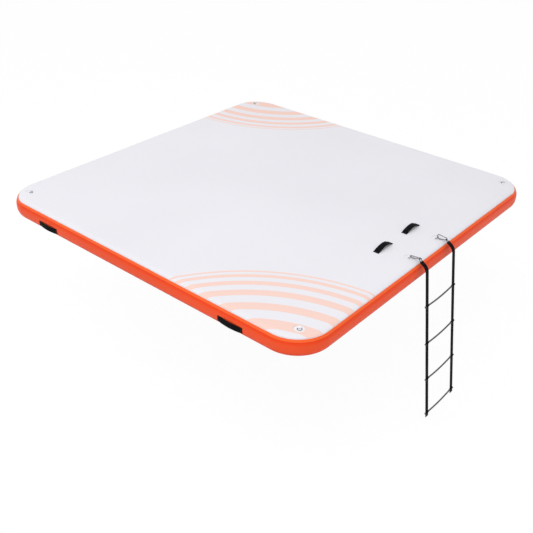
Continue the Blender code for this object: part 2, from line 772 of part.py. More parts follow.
def make_rail(side, bay, rungs):
    """One bay's rail, with an eye round the rung above and another round the rung below."""
    hinge = ladder_hinge()
    down = ladder_down()
    inner = 1 if side == "left" else -1
    inner_y = Vector((0, inner, 0))
    middle = Vector((0, SIDE_Y[side], 0))
    top = hinge + down * (rungs[bay - 1] if bay else 0)
    low = hinge + down * rungs[bay]
    clear = eye_radius() + SEAT_GAP
    last = bay == RUNG_COUNT - 1
    strip_top = clear if bay else HINGE_GAP / 2
    strip_low = -RAIL_TAIL if last else clear
    length = rungs[bay] - (rungs[bay - 1] if bay else 0)
    run = length - strip_top - strip_low
    place = frame(top + middle, down, (1, 0, 0))
    rail = block(
        f"rail_{side}_{bay + 1}",
        (run, RAIL_WIDTH, RAIL_THICKNESS),
        (strip_top + run / 2, 0, 0),
        "webbing_black",
        place,
    )
    eye_width = RAIL_WIDTH if last else (RAIL_WIDTH - SEAT_GAP) / 2
    shift = 0 if last else (RAIL_WIDTH - eye_width) / 2
    ends = [("low", low, inner_y * shift, eye_width, -1)]
    if bay:
        width = (RAIL_WIDTH - SEAT_GAP) / 2
        ends.append(("top", top, -inner_y * (RAIL_WIDTH - width) / 2, width, 1))
    for label, rung, offset, width, way in ends:
        centre = rung + middle + offset
        half = Vector((0, width / 2, 0))
        eye = cylinder(
            f"rail_{side}_{bay + 1}_{label}_eye",
            eye_radius(),
            centre - half,
            centre + half,
            "webbing_black",
            14,
        )
        parts = [eye]
        if not (last and label == "low"):
            neck = block(
                f"rail_{side}_{bay + 1}_{label}_neck",
                (clear + eye_radius() / 2, width, RAIL_THICKNESS),
                (way * (clear + eye_radius() / 2) / 2, 0, 0),
                "webbing_black",
                frame(centre, down, (1, 0, 0)),
            )
            parts.append(neck)
        join(rail, *parts)
        past = Vector((0, width / 2 + SEAT_GAP / 3, 0))
        bore = cylinder(
            f"rail_{side}_{bay + 1}_{label}_bore",
            RUNG_DIAMETER / 2 + RUN_CLEARANCE,
            centre - past,
            centre + past,
            "webbing_black",
            14,
        )
        cut(rail, as_tool(bore))


def make_rung(index, distance):
    """A rod through the rails' eyes, sagging a little between them, with a collar at each end."""
    centre = ladder_hinge() + ladder_down() * distance
    outer = LADDER_SPACING / 2 + RAIL_WIDTH / 2 + SEAT_GAP
    inner = LADDER_SPACING / 2 - RAIL_WIDTH / 2 - SEAT_GAP
    steps = 8
    shape = [(-outer - RUNG_COLLAR_LENGTH, 0)]
    for step in range(steps + 1):
        share = 2 * step / steps - 1
        shape.append((inner * share, -RUNG_SAG * (1 - share * share)))
    shape.append((outer + RUNG_COLLAR_LENGTH, 0))
    points = [
        centre + Vector((0, LADDER_CENTRE_Y + y, 0)) - ladder_down() * drop
        for y, drop in shape
    ]
    rung = as_mesh(tube(f"rung_{index + 1}", points, RUNG_DIAMETER / 2, "rung_grey"))
    for way in (-1, 1):
        end = centre + Vector((0, LADDER_CENTRE_Y + way * outer, 0))
        collar = cylinder(
            f"rung_{index + 1}_collar_{way}",
            RUNG_COLLAR_RADIUS,
            end,
            end + Vector((0, way * RUNG_COLLAR_LENGTH, 0)),
            "rung_grey",
            14,
        )
        join(rung, collar)


def make_ladder():
    rungs = [FIRST_RUNG + RUNG_SPACING * index for index in range(RUNG_COUNT)]
    for bay in range(RUNG_COUNT):
        for side in SIDE_Y:
            make_rail(side, bay, rungs)
        make_rung(bay, rungs[bay])


# Handles


def handle_path(length, rise, lean):
    """A flat foot at each end and a bowed grip between, as (along, height) points."""
    half = length / 2
    grip = half - HANDLE_FOOT
    steps = 10
    path = [(-half, 0)]
    for step in range(steps + 1):
        share = 2 * step / steps - 1
        height = rise * math.cos(share * math.pi / 2) ** HANDLE_FULLNESS
        path.append((grip * (share + lean * (1 - share * share)), height))
    path.append((half, 0))
    return path


def make_handles():
    lift = HANDLE_THICKNESS / 2 + SEAT_GAP
    for side in SIDE_Y:
        y = SIDE_Y[side] - LADDER_CENTRE_Y + TOP_HANDLE_CENTRE_Y
        strap(
            f"deck_handle_{side}",
            handle_path(TOP_HANDLE_LENGTH, TOP_HANDLE_RISE, TOP_HANDLE_LEAN),
            HANDLE_WIDTH,
            HANDLE_THICKNESS,
            "webbing_black",
            frame((HALF - TOP_HANDLE_INSET, y, PAD_TOP + lift), (0, 1, 0), (0, 0, 1)),
        )
    for way, wall in ((-1, "front"), (1, "back")):
        for end, label in ((1, "a"), (-1, "b")):
            place = (end * SIDE_HANDLE_X, way * (HALF + lift), SIDE_HANDLE_Z)
            strap(
                f"side_handle_{wall}_{label}",
                handle_path(SIDE_HANDLE_LENGTH, SIDE_HANDLE_RISE, 0),
                HANDLE_WIDTH,
                HANDLE_THICKNESS,
                "webbing_black",
                frame(place, (1, 0, 0), (0, way, 0)),
            )


# Inflation valve


def valve_matrix():
    """The valve's frame: Z points out of the wall, with its origin on the boot's flat face."""
    centre = Vector((-HALF - BOOT_PROUD, VALVE_Y, VALVE_Z))
    return frame(centre, (0, 1, 0), (-1, 0, 0))


def valve_disc(name, radius, low, high, finish_name, sides=28):
    """A cylinder about the valve's axis between two heights."""
    matrix = valve_matrix()
    start = matrix @ Vector((0, 0, low))
    return cylinder(name, radius, start, matrix @ Vector((0, 0, high)), finish_name, sides)


def valve_hole():
    return as_tool(
        valve_disc("valve_hole", VALVE_HOLE_RADIUS, -EDGE_RADIUS, EDGE_RADIUS, "valve_black")
    )


def boot_room():
    """The space that the seam tapes leave free round the boot."""
    radius = BOOT_RADIUS + SEAT_GAP
    return as_tool(
        valve_disc("boot_room", radius, -EDGE_RADIUS, EDGE_RADIUS, "valve_black")
    )


def wall_recess(radius):
    """How far the band's inner face draws in at a distance above the valve's axis."""
    inner = EDGE_RADIUS - BAND_THICKNESS
    height = VALVE_Z + radius
    stations = edge(inner, 0, 90)
    for (upper_offset, upper), (lower_offset, lower) in zip(stations, stations[1:]):
        if lower <= height <= upper:
            share = (height - lower) / (upper - lower)
            return inner - lower_offset - (upper_offset - lower_offset) * share
    return 0.0


def make_boot():
    """A moulded ring welded to the wall: flat outside, and curved to fit the band behind."""
    inner = EDGE_RADIUS + SEAT_GAP
    wall = edge(inner, 0, 90)
    envelope = swept(
        "wall_envelope", wall + mirrored(wall[::-1]), "band_orange", closed=False
    )
    boot = valve_disc("valve_boot", BOOT_RADIUS, -EDGE_RADIUS / 2, 0, "band_orange")
    bore = valve_disc(
        "valve_boot_bore", VALVE_HOLE_RADIUS, -EDGE_RADIUS, CUT_OVERRUN, "band_orange"
    )
    cut(boot, as_tool(envelope), as_tool(bore))


def make_valve_body():
    """Flange and barrel, with a seat at the inner end and a three-spoke guide for the stem."""
    low, high = -VALVE_DEPTH, VALVE_COLLAR
    under = SEAT_GAP
    profile = [
        (VALVE_SEAT_RADIUS, low),
        (VALVE_SEAT_RADIUS, low + VALVE_FLOOR),
        (VALVE_BORE_RADIUS, low + VALVE_FLOOR + VALVE_BORE_RADIUS - VALVE_SEAT_RADIUS),
        (VALVE_BORE_RADIUS, high),
        (VALVE_BARREL_RADIUS, high),
        (VALVE_BARREL_RADIUS, under + VALVE_FLANGE),
        (VALVE_FLANGE_RADIUS, under + VALVE_FLANGE),
        (VALVE_FLANGE_RADIUS, under),
        (VALVE_BARREL_RADIUS, under),
        (VALVE_BARREL_RADIUS, low),
        (VALVE_SEAT_RADIUS, low),
    ]
    body = turned("valve_body", profile[::-1], "valve_grey", valve_matrix(), 28)
    hub = valve_disc("valve_hub", VALVE_HUB_RADIUS, guide_low(), guide_high(), "valve_grey", 20)
    join(body, hub)
    reach = (VALVE_BORE_RADIUS + VALVE_BARREL_RADIUS) / 2
    for spoke in range(3):
        turn = Matrix.Rotation(math.radians(120 * spoke), 4, "Z")
        arm = block(
            f"valve_spoke_{spoke}",
            (reach - VALVE_HUB_RADIUS / 2, VALVE_SPOKE, guide_high() - guide_low()),
            (
                (reach + VALVE_HUB_RADIUS / 2) / 2,
                0,
                (guide_low() + guide_high()) / 2,
            ),
            "valve_grey",
            valve_matrix() @ turn,
        )
        join(body, arm)
    bore = valve_disc(
        "stem_bore",
        STEM_RADIUS + RUN_CLEARANCE,
        guide_low() - CUT_OVERRUN / 2,
        guide_high() + CUT_OVERRUN / 2,
        "valve_grey",
        16,
    )
    cut(body, as_tool(bore))


def guide_low():
    """Inner face of the stem's guide."""
    return guide_high() - 2 * VALVE_SPOKE / 3


def guide_high():
    return button_low() - STEM_TRAVEL - spring_closed() - 2 * SEAT_GAP


def button_low():
    return VALVE_COLLAR - STEM_RECESS - STEM_BUTTON


def spring_closed():
    """Length of the spring with its coils together."""
    return (SPRING_TURNS + 1) * SPRING_WIRE


def make_valve():
    make_boot()
    make_valve_body()
    top = -(BOOT_PROUD + BAND_THICKNESS) - wall_recess(NUT_RADIUS) - SEAT_GAP
    turned(
        "valve_nut",
        [
            (NUT_HOLE_RADIUS, top),
            (NUT_RADIUS, top),
            (NUT_RADIUS, top - NUT_THICKNESS),
            (NUT_HOLE_RADIUS, top - NUT_THICKNESS),
            (NUT_HOLE_RADIUS, top),
        ],
        "valve_black",
        valve_matrix(),
        24,
    )
    seat = -VALVE_DEPTH - SEAT_GAP
    button = button_low() + STEM_BUTTON
    turned(
        "valve_stem",
        [
            (0, button),
            (STEM_BUTTON_RADIUS, button),
            (STEM_BUTTON_RADIUS, button_low()),
            (STEM_RADIUS, button_low()),
            (STEM_RADIUS, seat),
            (POPPET_RADIUS, seat),
            (POPPET_RADIUS, seat - POPPET),
            (0, seat - POPPET),
        ],
        "valve_black",
        valve_matrix(),
        20,
    )
    make_spring()
    make_cap()


def make_spring():
    """The coil between the stem's guide and its button."""
    low = guide_high() + SEAT_GAP + SPRING_WIRE / 2
    high = button_low() - SEAT_GAP - SPRING_WIRE / 2
    count = SPRING_TURNS * SPRING_TURN_POINTS
    points = []
    for step in range(count + 1):
        angle = 2 * math.pi * step / SPRING_TURN_POINTS
        height = low + (high - low) * step / count
        across = SPRING_RADIUS * math.cos(angle)
        points.append((across, SPRING_RADIUS * math.sin(angle), height))
    gap = (high - low) / SPRING_TURNS - SPRING_WIRE
    print(f"least gap between the spring's coils: {gap * 1000:.2f} mm")
    tube("valve_spring", points, SPRING_WIRE / 2, "steel", matrix=valve_matrix())


def make_cap():
    """A push-and-turn cap with a gasket under its top and a grip across it."""
    rim = VALVE_COLLAR
    gasket_low = rim + SEAT_GAP
    gasket_high = gasket_low + GASKET_THICKNESS
    turned(
        "cap_gasket",
        [
            (VALVE_BORE_RADIUS, gasket_high),
            (VALVE_BARREL_RADIUS, gasket_high),
            (VALVE_BARREL_RADIUS, gasket_low),
            (VALVE_BORE_RADIUS, gasket_low),
            (VALVE_BORE_RADIUS, gasket_high),
        ],
        "valve_black",
        valve_matrix(),
        28,
    )
    inside = gasket_high + SEAT_GAP
    top = inside + CAP_WALL
    bore = VALVE_BARREL_RADIUS + RUN_CLEARANCE
    skirt = inside - CAP_SKIRT
    cap = turned(
        "valve_cap",
        [
            (0, top),
            (bore + CAP_WALL, top),
            (bore + CAP_WALL, skirt),
            (bore, skirt),
            (bore, inside),
            (0, inside),
        ],
        "valve_grey",
        valve_matrix(),
        28,
    )
    grip = block(
        "valve_cap_grip",
        (2 * VALVE_BARREL_RADIUS, CAP_GRIP_WIDTH, CAP_GRIP_HEIGHT),
        (0, 0, top + CAP_GRIP_HEIGHT / 2 - CAP_WALL / 2),
        "valve_grey",
        valve_matrix(),
    )
    join(cap, grip)


make_platform()
make_core()
make_rings()
make_hook("left")
make_hook("right")
make_straps()
make_ladder()
make_handles()
make_valve()
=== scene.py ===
"""Inflatable dock platform: the finished look of each piece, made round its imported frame.

Metres, +Z up. The origin is the centre of the underside. The boarding ladder hangs on the +X
side, and the walls that carry the side handles face -Y and +Y.
"""

from math import asin, cos, degrees, hypot, pi, radians, sin, sqrt, tau
from types import SimpleNamespace

import bmesh
import bpy
from bpy.props import FloatProperty, FloatVectorProperty, IntProperty, PointerProperty
from mathutils import Matrix, Vector


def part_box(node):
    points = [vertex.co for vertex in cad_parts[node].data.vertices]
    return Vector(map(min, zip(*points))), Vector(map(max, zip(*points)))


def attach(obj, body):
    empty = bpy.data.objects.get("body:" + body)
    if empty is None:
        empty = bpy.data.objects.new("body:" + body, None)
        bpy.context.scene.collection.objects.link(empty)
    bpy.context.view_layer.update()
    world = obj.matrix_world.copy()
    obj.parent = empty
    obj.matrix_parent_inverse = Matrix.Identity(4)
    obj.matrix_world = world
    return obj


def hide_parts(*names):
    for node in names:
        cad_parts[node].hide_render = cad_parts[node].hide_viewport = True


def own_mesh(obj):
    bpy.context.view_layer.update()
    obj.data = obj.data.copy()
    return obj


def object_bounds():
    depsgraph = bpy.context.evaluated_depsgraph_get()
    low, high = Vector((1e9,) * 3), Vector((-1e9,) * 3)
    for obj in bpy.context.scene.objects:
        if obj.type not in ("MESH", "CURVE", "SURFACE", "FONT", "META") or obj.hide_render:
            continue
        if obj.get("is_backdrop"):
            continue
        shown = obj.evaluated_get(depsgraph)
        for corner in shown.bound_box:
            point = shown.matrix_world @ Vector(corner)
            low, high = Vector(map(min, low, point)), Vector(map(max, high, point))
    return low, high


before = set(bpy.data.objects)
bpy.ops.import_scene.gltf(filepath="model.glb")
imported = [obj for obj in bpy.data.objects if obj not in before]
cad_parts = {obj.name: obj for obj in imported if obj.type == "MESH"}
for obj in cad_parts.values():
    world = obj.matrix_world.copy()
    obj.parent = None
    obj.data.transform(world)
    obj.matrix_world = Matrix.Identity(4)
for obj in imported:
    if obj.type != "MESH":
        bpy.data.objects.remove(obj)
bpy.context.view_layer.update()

bl_info = {
    "name": "Inflatable dock platform",
    "version": (1, 0, 0),
    "blender": (4, 5, 0),
    "location": "3D View > Sidebar > Dock",
    "description": "Skins, pad, rings, hooks, webbing ladder, handles and valve of a dock",
    "category": "Add Mesh",
}

SIDES = ("left", "right")
BOWS = {"near": 315, "right": 135, "far": 225, "left": 45}  # way of each corner ring's bow
BAND_LOW, BAND_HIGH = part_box("side_band")
SKIN_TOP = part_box("top_skin")[1].z
SEAT_GAP = 0.0003  # between pieces that touch
WELD_DISTANCE = 0.00001  # points this close are one
EDGE_STEP = 2  # degrees between the stations round the platform's edge
WIRE_SIDES = 20
ROD_SIDES = 24  # of the hooks, their pins and the rungs
CORD_SIDES = 16
SPRING_SIDES = 10
GATE_SIDES = 28
BORE_SIDES = 32  # of the tabs' bores and the rungs' collars
SPIN_STEPS = 72  # facets round the patches, the pad's holes, the boot and the cap
RAIL_STEPS = 24  # stations along a rail
RUNG_STEPS = 40  # and along a rung
EDGE_STEPS = 6  # of a ring's corners, a webbing's selvedge and width, and a domed pin
RIM_STEPS = 5  # of the eased rims of the boot and the cap
PATCH_STEPS = 4  # and of a patch
TONGUE_STEPS = 16
BEND_STEPS = 24  # of the tabs' folds, the cord loops and the hooks' narrow bends
BOW_STEPS = 28  # of the rings' bows, the straps' bends and the turns round a rung
WIDE_STEPS = 36  # of the hooks' wide bends and the handles' grips
FOOT_STEPS = 6  # stations along a handle's foot
LEAD_STEPS = 4  # and along the straight parts of a strap
WELD_ANGLE = 40  # faces that meet at less than this many degrees are shaded as one
ROD_WELD = 50  # the same for the hooks
WIRE_WELD = 60  # and for the rings and the valve's spring
ANGLE_MATCH = 1e-6  # radians that a station may lie outside its limits
ANGLE_APART = 1e-4  # stations closer than this, in radians, are one
TONGUE_EASE = 0.0003  # rounding of the rims of a gate's tongue
EYE_EASE = 0.0004  # and of the webbing's turns round a rung
RIDGE_PLACE = 0.84  # share of a patch's radius where its welded ridge lies
TAB_ROWS = (0.35, 0.85)  # shares of a tab's leg at which it is sewn
DISH_START = 0.8  # share of the cap's radius where its dished top starts
DISH_END = 0.76  # and where it is full
RIB_REACH = 0.7  # share of the cap's skirt that its ribs cover
SPRING_STEPS = 24  # straight pieces in each turn of the valve's spring
GLUE_SHADE_LINE = 0.003  # width of the darker line beside each tape, a glue line with painted shade
GLUE_SHADE_FADE = 9  # how many times that width it takes to fade out
UNDERSIDE_SHADE_LOW = 0.020  # height above the underside where the painted shade is full
UNDERSIDE_SHADE_HIGH = 0.034  # and where it ends
# tint of the glue lines and their painted shade
GLUE_SHADE_TINT = (0.93, 0.5, 0.2)
# tint of the painted shade towards the underside
UNDERSIDE_SHADE_TINT = (0.62, 0.6, 0.66)
FOLD_LEAD = 0.25  # length of straight side before a corner where the folds start
FOLD_FULL = 0.1  # and past the corner's start where they are full
SCRIM_PITCH = 0.0022  # of the coated fabric's threads
TWIST_PITCH = 0.0006  # of the sewing thread's twist
KNIT_PITCH = 0.0018  # of the core's knitted plies
CLOUD_LOW, CLOUD_HIGH = 0.35, 0.65  # the part of a noise that makes soft clouds
MARK_LOW, MARK_HIGH = 0.3, 0.7  # the part that makes handling marks
WORN_LOW, WORN_HIGH = 0.4, 0.7  # and the part that makes worn spots
TWILL_PITCH = 1.4  # of the webbing's twill, in pitches of its ribs
TWILL_SHARE = 0.55  # how far the twill lowers the ribs
NEAR_STRIPES = (  # inner and outer radius of each ring printed at the near corner
    (0.765, 0.858), (0.953, 1.031), (1.109, 1.173), (1.235, 1.283), (1.328, 1.362), (1.393, 1.409)
)
FAR_STRIPES = (  # and at the far one
    (0.600, 0.704), (0.800, 0.885), (0.962, 1.033), (1.094, 1.145), (1.197, 1.231), (1.261, 1.273)
)
STRIPE_LIMIT = 1.5  # larger than every radius
WAVE_LENGTH = pi / 10  # of the wave texture at a scale of one
MIX_INPUTS = (0, 6, 7)  # the Mix node's sockets for a share and two colours
MIX_OUTPUT = 2
SENSOR_WIDTH = 36  # millimetres
VIEW_DEPTH = 60  # how far the camera sees
FLOOR_RADIUS = 14
FLOOR_SIDES = 120
FLOOR_COLOUR, FLOOR_ROUGHNESS = (0.9, 0.9, 0.9), 0.9
FLOOR_GLOW = 1.03  # strength of the white that the camera sees on the floor
FLOOR_GLOW_SHARE = 0.88  # its share, the rest being a real floor that takes shadows
KEY_PLACE, KEY_SIZE = (2.2, -5.0, 9.0), 6.0
FILL_PLACE, FILL_SIZE = (-4.5, -2.0, 5.0), 4.0


def amount(name, description, default, **more):
    return FloatProperty(name=name, description=description, default=default, **more)


def length(name, description, default):
    return amount(name, description, default, unit="LENGTH")


def angle(name, description, value):
    return amount(name, description, radians(value), subtype="ANGLE")


def count(name, description, default):
    return IntProperty(name=name, description=description, default=default, min=1)


def colour(name, description, red, green, blue):
    """A colour property whose default is given as it looks on a screen, from 0 to 255."""
    shown = [value / 255 for value in (red, green, blue)]
    linear = [v / 12.92 if v <= 0.04045 else ((v + 0.055) / 1.055) ** 2.4 for v in shown]
    return FloatVectorProperty(
        name=name, description=description, default=linear, subtype="COLOR", min=0, max=1
    )


def sizes(group):
    """One of the groups of sizes that the scene holds."""
    return getattr(bpy.context.scene, f"dock_{group}")


# Sizes and colours that a user would change


class DockPlatformSizes(bpy.types.PropertyGroup):
    width: length("Width", "Over the side band", BAND_HIGH.x - BAND_LOW.x)
    thickness: length("Thickness", "Over the two skins", SKIN_TOP)
    plan_corner: length("Corner radius", "Of the platform's plan", 0.27)
    edge_radius: length("Edge radius", "Rounding of the side band, seen in section", 0.066)
    skin: length("Skin", "Thickness of the two skins", 0.0012)
    band: length("Band", "Thickness of the side band", 0.0012)
    tape: length("Tape", "Thickness of the seam tapes", 0.001)
    pad: length("Pad", "Thickness of the deck pad", 0.003)
    pad_end: angle("Pad's end", "Round the edge from the flat top", 37)
    tape_start: angle("Tape's start", "Round the edge from the flat top", 41.5)
    tape_end: angle("Tape's end", "Round the edge from the flat top", 58)
    band_end: angle("Band's edge", "Round the edge from the flat top", 50)
    skin_lap: angle("Skin's lap", "Where the skin ends under the band", 74)
    corner_steps: count("Corner steps", "Facets round each corner of the plan", 28)
    stripe_near_x: length("Near stripes X", "Centre of the near corner's stripes", 1.618)
    stripe_near_y: length("Near stripes Y", "Centre of the near corner's stripes", -2.150)
    stripe_far_x: length("Far stripes X", "Centre of the far corner's stripes", -1.522)
    stripe_far_y: length("Far stripes Y", "Centre of the far corner's stripes", 2.0105)


class DockRingSizes(bpy.types.PropertyGroup):
    wire: length("Wire", "Diameter of the rings' wire", 0.004)
    inner_width: length("Inner width", "Across a ring's bar", 0.025)
    depth: length("Depth", "From bar to bow, between wire centres", 0.0215)
    corner: length("Corner", "Radius at the ends of the bar", 0.0035)
    tab_width: length("Tab width", "Webbing round the bar", 0.020)
    tab_ply: length("Tab ply", "Thickness of one ply", 0.0012)
    tab_leg: length("Tab leg", "From the bar to the tab's end", 0.024)
    patch_radius: length("Patch radius", "Of the round patch", 0.036)
    patch: length("Patch", "Thickness of the round patch", 0.0012)
    pad_clearance: length("Clearance", "From a patch to the hole in the pad", 0.001)


class DockHookSizes(bpy.types.PropertyGroup):
    length: length("Length", "Over both bends", 0.086)
    width: length("Width", "Over the wide bend", 0.040)
    narrow: length("Narrow width", "Over the narrow bend", 0.025)
    wire: length("Wire", "Diameter of the body's wire", 0.007)
    tongue: length("Tongue", "Thickness of the gate's tongue", 0.0026)
    tongue_width: length("Tongue width", "Across the gate", 0.0056)
    gate: length("Gate", "Diameter of the gate's rod", 0.0062)
    pin: length("Pin", "Diameter of the gate's pin", 0.0024)
    tip_gap: length("Tip gap", "From the gate's tip to the nose", 0.0005)
    setback: length("Pin's setback", "From the end of the narrow bend", 0.009)
    nose: length("Nose", "Straight wire before the gate's tip", 0.007)
    ring_clearance: length("Ring clearance", "From the hook's wire to the ring's", 0.0004)
    roll_left: angle("Left roll", "From upright, towards -Y", 38)
    roll_right: angle("Right roll", "From upright, towards -Y", 0)
    tilt_left: angle("Left tilt", "Rise of the narrow end", 10)
    tilt_right: angle("Right tilt", "Rise of the narrow end", 3)


class DockLadderSizes(bpy.types.PropertyGroup):
    centre_y: length("Centre", "Of the ladder, along the platform's side", -0.012)
    spacing: length("Spacing", "Between rail centres", 0.372)
    lean: angle("Lean", "From plumb, outwards", 8)
    rail_width: length("Rail width", "Of the webbing", 0.038)
    rail: length("Rail", "Thickness of the webbing", 0.004)
    tail: length("Tail", "Below the last rung", 0.033)
    first_rung: length("First rung", "Along the rail from the hinge", 0.238)
    rung_spacing: length("Rung spacing", "Between rungs", 0.311)
    rung: length("Rung", "Diameter of a rung", 0.012)
    sag: length("Sag", "Of a rung between its rails", 0.008)
    collar_radius: length("Collar radius", "At a rung's ends", 0.0078)
    collar: length("Collar", "Length of a rung's collar", 0.002)
    eye_wall: length("Eye wall", "Webbing round a rung", 0.0016)
    hinge_gap: length("Hinge gap", "Between the webbings at the ladder's hinge", 0.0008)
    start_inset: length("Start inset", "From the platform's side to the webbing's start", 0.006)
    start_rise: length("Start rise", "Of the webbing's start above the pad", 0.0067)
    start_slope: angle("Start slope", "Below level", 33)
    straight: length("Straight", "Webbing before the bend", 0.028)
    bend: length("Bend", "Radius over the platform's edge", 0.075)
    drop: length("Drop", "From the bend to the ladder's hinge", 0.03)
    cord: length("Loop cord", "Diameter of the hook's loop", 0.005)
    slack: length("Slack", "Of the loop round the hook", 0.0012)
    side_gap: length("Side gap", "Of the loop beside the hook", 0.0009)
    buried: length("Buried", "Length of each leg sewn into the webbing", 0.006)
    reach: length("Reach", "From the hook to the start of the webbing", 0.010)


class DockHandleSizes(bpy.types.PropertyGroup):
    width: length("Width", "Of the handles' webbing", 0.046)
    thickness: length("Thickness", "Of the handles' webbing", 0.003)
    foot: length("Foot", "Length sewn down at each end", 0.014)
    fullness: amount("Fullness", "Power of the grip's arch, lower for a fuller one", 1.2)
    top_centre: length("Deck centre", "Between the deck handles, along Y", -0.020)
    top_length: length("Deck length", "Of a deck handle", 0.19)
    top_rise: length("Deck rise", "Of a deck handle's grip", 0.023)
    top_lean: amount("Deck lean", "Share of half the grip that the arch's top lies to +Y", 0.2)
    top_fullness: amount("Deck fullness", "Power of a deck handle's arch", 0.7)
    top_inset: length("Deck inset", "From the platform's ladder side", 0.315)
    side_length: length("Side length", "Of a side handle", 0.21)
    side_rise: length("Side rise", "Of a side handle's grip", 0.007)
    side_inset: length("Side inset", "From the end of the side to the handle's middle", 0.59)
    side_drop: length("Side drop", "Below the middle of the wall", 0.016)


class DockSewingSizes(bpy.types.PropertyGroup):
    stitch: length("Stitch", "Length of one stitch", 0.0036)
    pitch: length("Stitch pitch", "From one stitch to the next", 0.0046)
    thread: length("Thread", "Diameter of the sewing thread", 0.0009)
    margin: length("Margin", "From the webbing's edge to the stitches", 0.004)
    rib: length("Rib pitch", "Of the webbing's weave", 0.0022)


class DockValveSizes(bpy.types.PropertyGroup):
    barrel: length("Barrel radius", "Of the valve's body", 0.021)
    flange_lip: length("Flange lip", "Beyond the barrel", 0.0055)
    boot_margin: length("Boot margin", "Beyond the flange", 0.0027)
    boot_proud: length("Boot's height", "Of its flat face, outside the band", 0.003)
    collar: length("Collar", "Height of the valve's rim", 0.009)
    gasket: length("Gasket", "Thickness of the cap's gasket", 0.0015)
    cap_wall: length("Cap wall", "Thickness of the cap", 0.002)
    cap_skirt: length("Cap skirt", "Depth of the cap", 0.007)
    grip_width: length("Grip width", "Of the bar across the cap", 0.005)
    grip_height: length("Grip height", "Of the bar across the cap", 0.007)
    ribs: count("Ribs", "Round the cap's skirt", 36)
    rib: length("Rib", "Width of a rib on the cap", 0.0016)
    spring_wire: length("Spring wire", "Of the spring behind the stem's button", 0.0008)
    spring_turns: count("Spring turns", "Of the spring behind the stem's button", 5)
    travel: length("Travel", "Of the stem when it is pressed in", 0.006)


class DockColours(bpy.types.PropertyGroup):
    deck: colour("Deck", "The pad's ground", 236, 235, 241)
    near_stripe: colour("Near stripes", "At the near corner", 249, 212, 200)
    far_stripe: colour("Far stripes", "At the far corner", 249, 208, 195)
    skin: colour("Skin", "Coated fabric of the two skins", 240, 239, 243)
    band: colour("Band", "Coated fabric of the side band", 247, 86, 44)
    tape: colour("Tape", "Seam tapes", 255, 104, 50)
    webbing: colour("Webbing", "Straps, rails and handles", 11, 11, 15)
    thread: colour("Thread", "Sewing thread", 44, 44, 50)
    rung: colour("Rungs", "Moulded rods", 74, 74, 78)
    steel: colour("Steel", "Rings and hooks", 136, 138, 143)
    core: colour("Core", "Drop-stitch threads", 231, 229, 222)
    valve: colour("Valve", "Moulded body and cap", 150, 153, 158)
    rubber: colour("Rubber", "Gasket, nut and stem", 38, 38, 41)


class DockStageSettings(bpy.types.PropertyGroup):
    camera_x: length("Camera X", "Place of the camera", 3.69392)
    camera_y: length("Camera Y", "Place of the camera", -4.49585)
    camera_z: length("Camera Z", "Place of the camera", 3.01537)
    heading: angle("Heading", "Of the camera's view, from +Y towards -X", 39.714)
    pitch: angle("Pitch", "Of the camera's view below level", 31.882)
    roll: angle("Roll", "Of the camera about its view", 1.261)
    focal: amount("Focal length", "In millimetres, for a 36 mm sensor", 53.483)
    floor_drop: length("Floor", "Below the ladder's end", 0.012)
    sky: amount("Sky", "Strength of the even light", 0.72)
    key: amount("Key", "Power of the large lamp, in watts", 300.0)
    fill: amount("Fill", "Power of the side lamp, in watts", 40.0)


GROUPS = {
    "dock_platform": DockPlatformSizes,
    "dock_rings": DockRingSizes,
    "dock_hooks": DockHookSizes,
    "dock_ladder": DockLadderSizes,
    "dock_handles": DockHandleSizes,
    "dock_sewing": DockSewingSizes,
    "dock_valve": DockValveSizes,
    "dock_colours": DockColours,
    "dock_stage": DockStageSettings,
}


def platform():
    """The platform's sizes, with those that follow from them."""
    given = sizes("platform")
    half = given.width / 2
    skin_radius = given.edge_radius - given.band - SEAT_GAP
    seat = given.thickness + SEAT_GAP
    return SimpleNamespace(
        given=given,
        half=half,
        skin_radius=skin_radius,
        flat_side=2 * (half - given.edge_radius),
        flat_corner=given.plan_corner - given.edge_radius,
        centre_z=given.thickness - skin_radius,
        pad_top=seat + given.pad,
        patch_low=seat,
        patch_top=seat + sizes("rings").patch,
    )


# Meshes


def arc(centre, radius, start, end, steps):
    """Points of an arc in a plane, from one angle in degrees to another."""
    turns = [radians(start + (end - start) * k / steps) for k in range(steps + 1)]
    return [(centre[0] + radius * cos(a), centre[1] + radius * sin(a)) for a in turns]


def framed(origin, along, up):
    """A matrix whose X runs along the first direction and whose Z leans towards the second."""
    x_axis = Vector(along).normalized()
    y_axis = Vector(up).cross(x_axis).normalized()
    axes = Matrix((x_axis, y_axis, x_axis.cross(y_axis))).transposed().to_4x4()
    return Matrix.Translation(Vector(origin)) @ axes


def turned(turn, axis):
    return Matrix.Rotation(turn, 4, axis)


def placed(name, data):
    """A new object in the scene."""
    thing = bpy.data.objects.new(name, data)
    bpy.context.scene.collection.objects.link(thing)
    return thing


def plain_mesh(thing, *others):
    """The mesh that an object's modifiers make. The objects that it took are removed."""
    graph = bpy.context.evaluated_depsgraph_get()
    made = bpy.data.meshes.new_from_object(thing.evaluated_get(graph))
    for used in (thing, *others):
        bpy.data.objects.remove(used)
    return made


def mesh_from(shape, outward=True):
    """A mesh from a bmesh, with its doubles merged and its faces pointing out."""
    bmesh.ops.remove_doubles(shape, verts=shape.verts, dist=WELD_DISTANCE)
    if outward:
        bmesh.ops.recalc_face_normals(shape, faces=shape.faces)
    mesh = bpy.data.meshes.new("shape")
    shape.to_mesh(mesh)
    shape.free()
    return mesh


def moved(mesh, how):
    """A mesh carried by a matrix, or by a step along X, Y and Z."""
    mesh.transform(how if isinstance(how, Matrix) else Matrix.Translation(how))
    return mesh


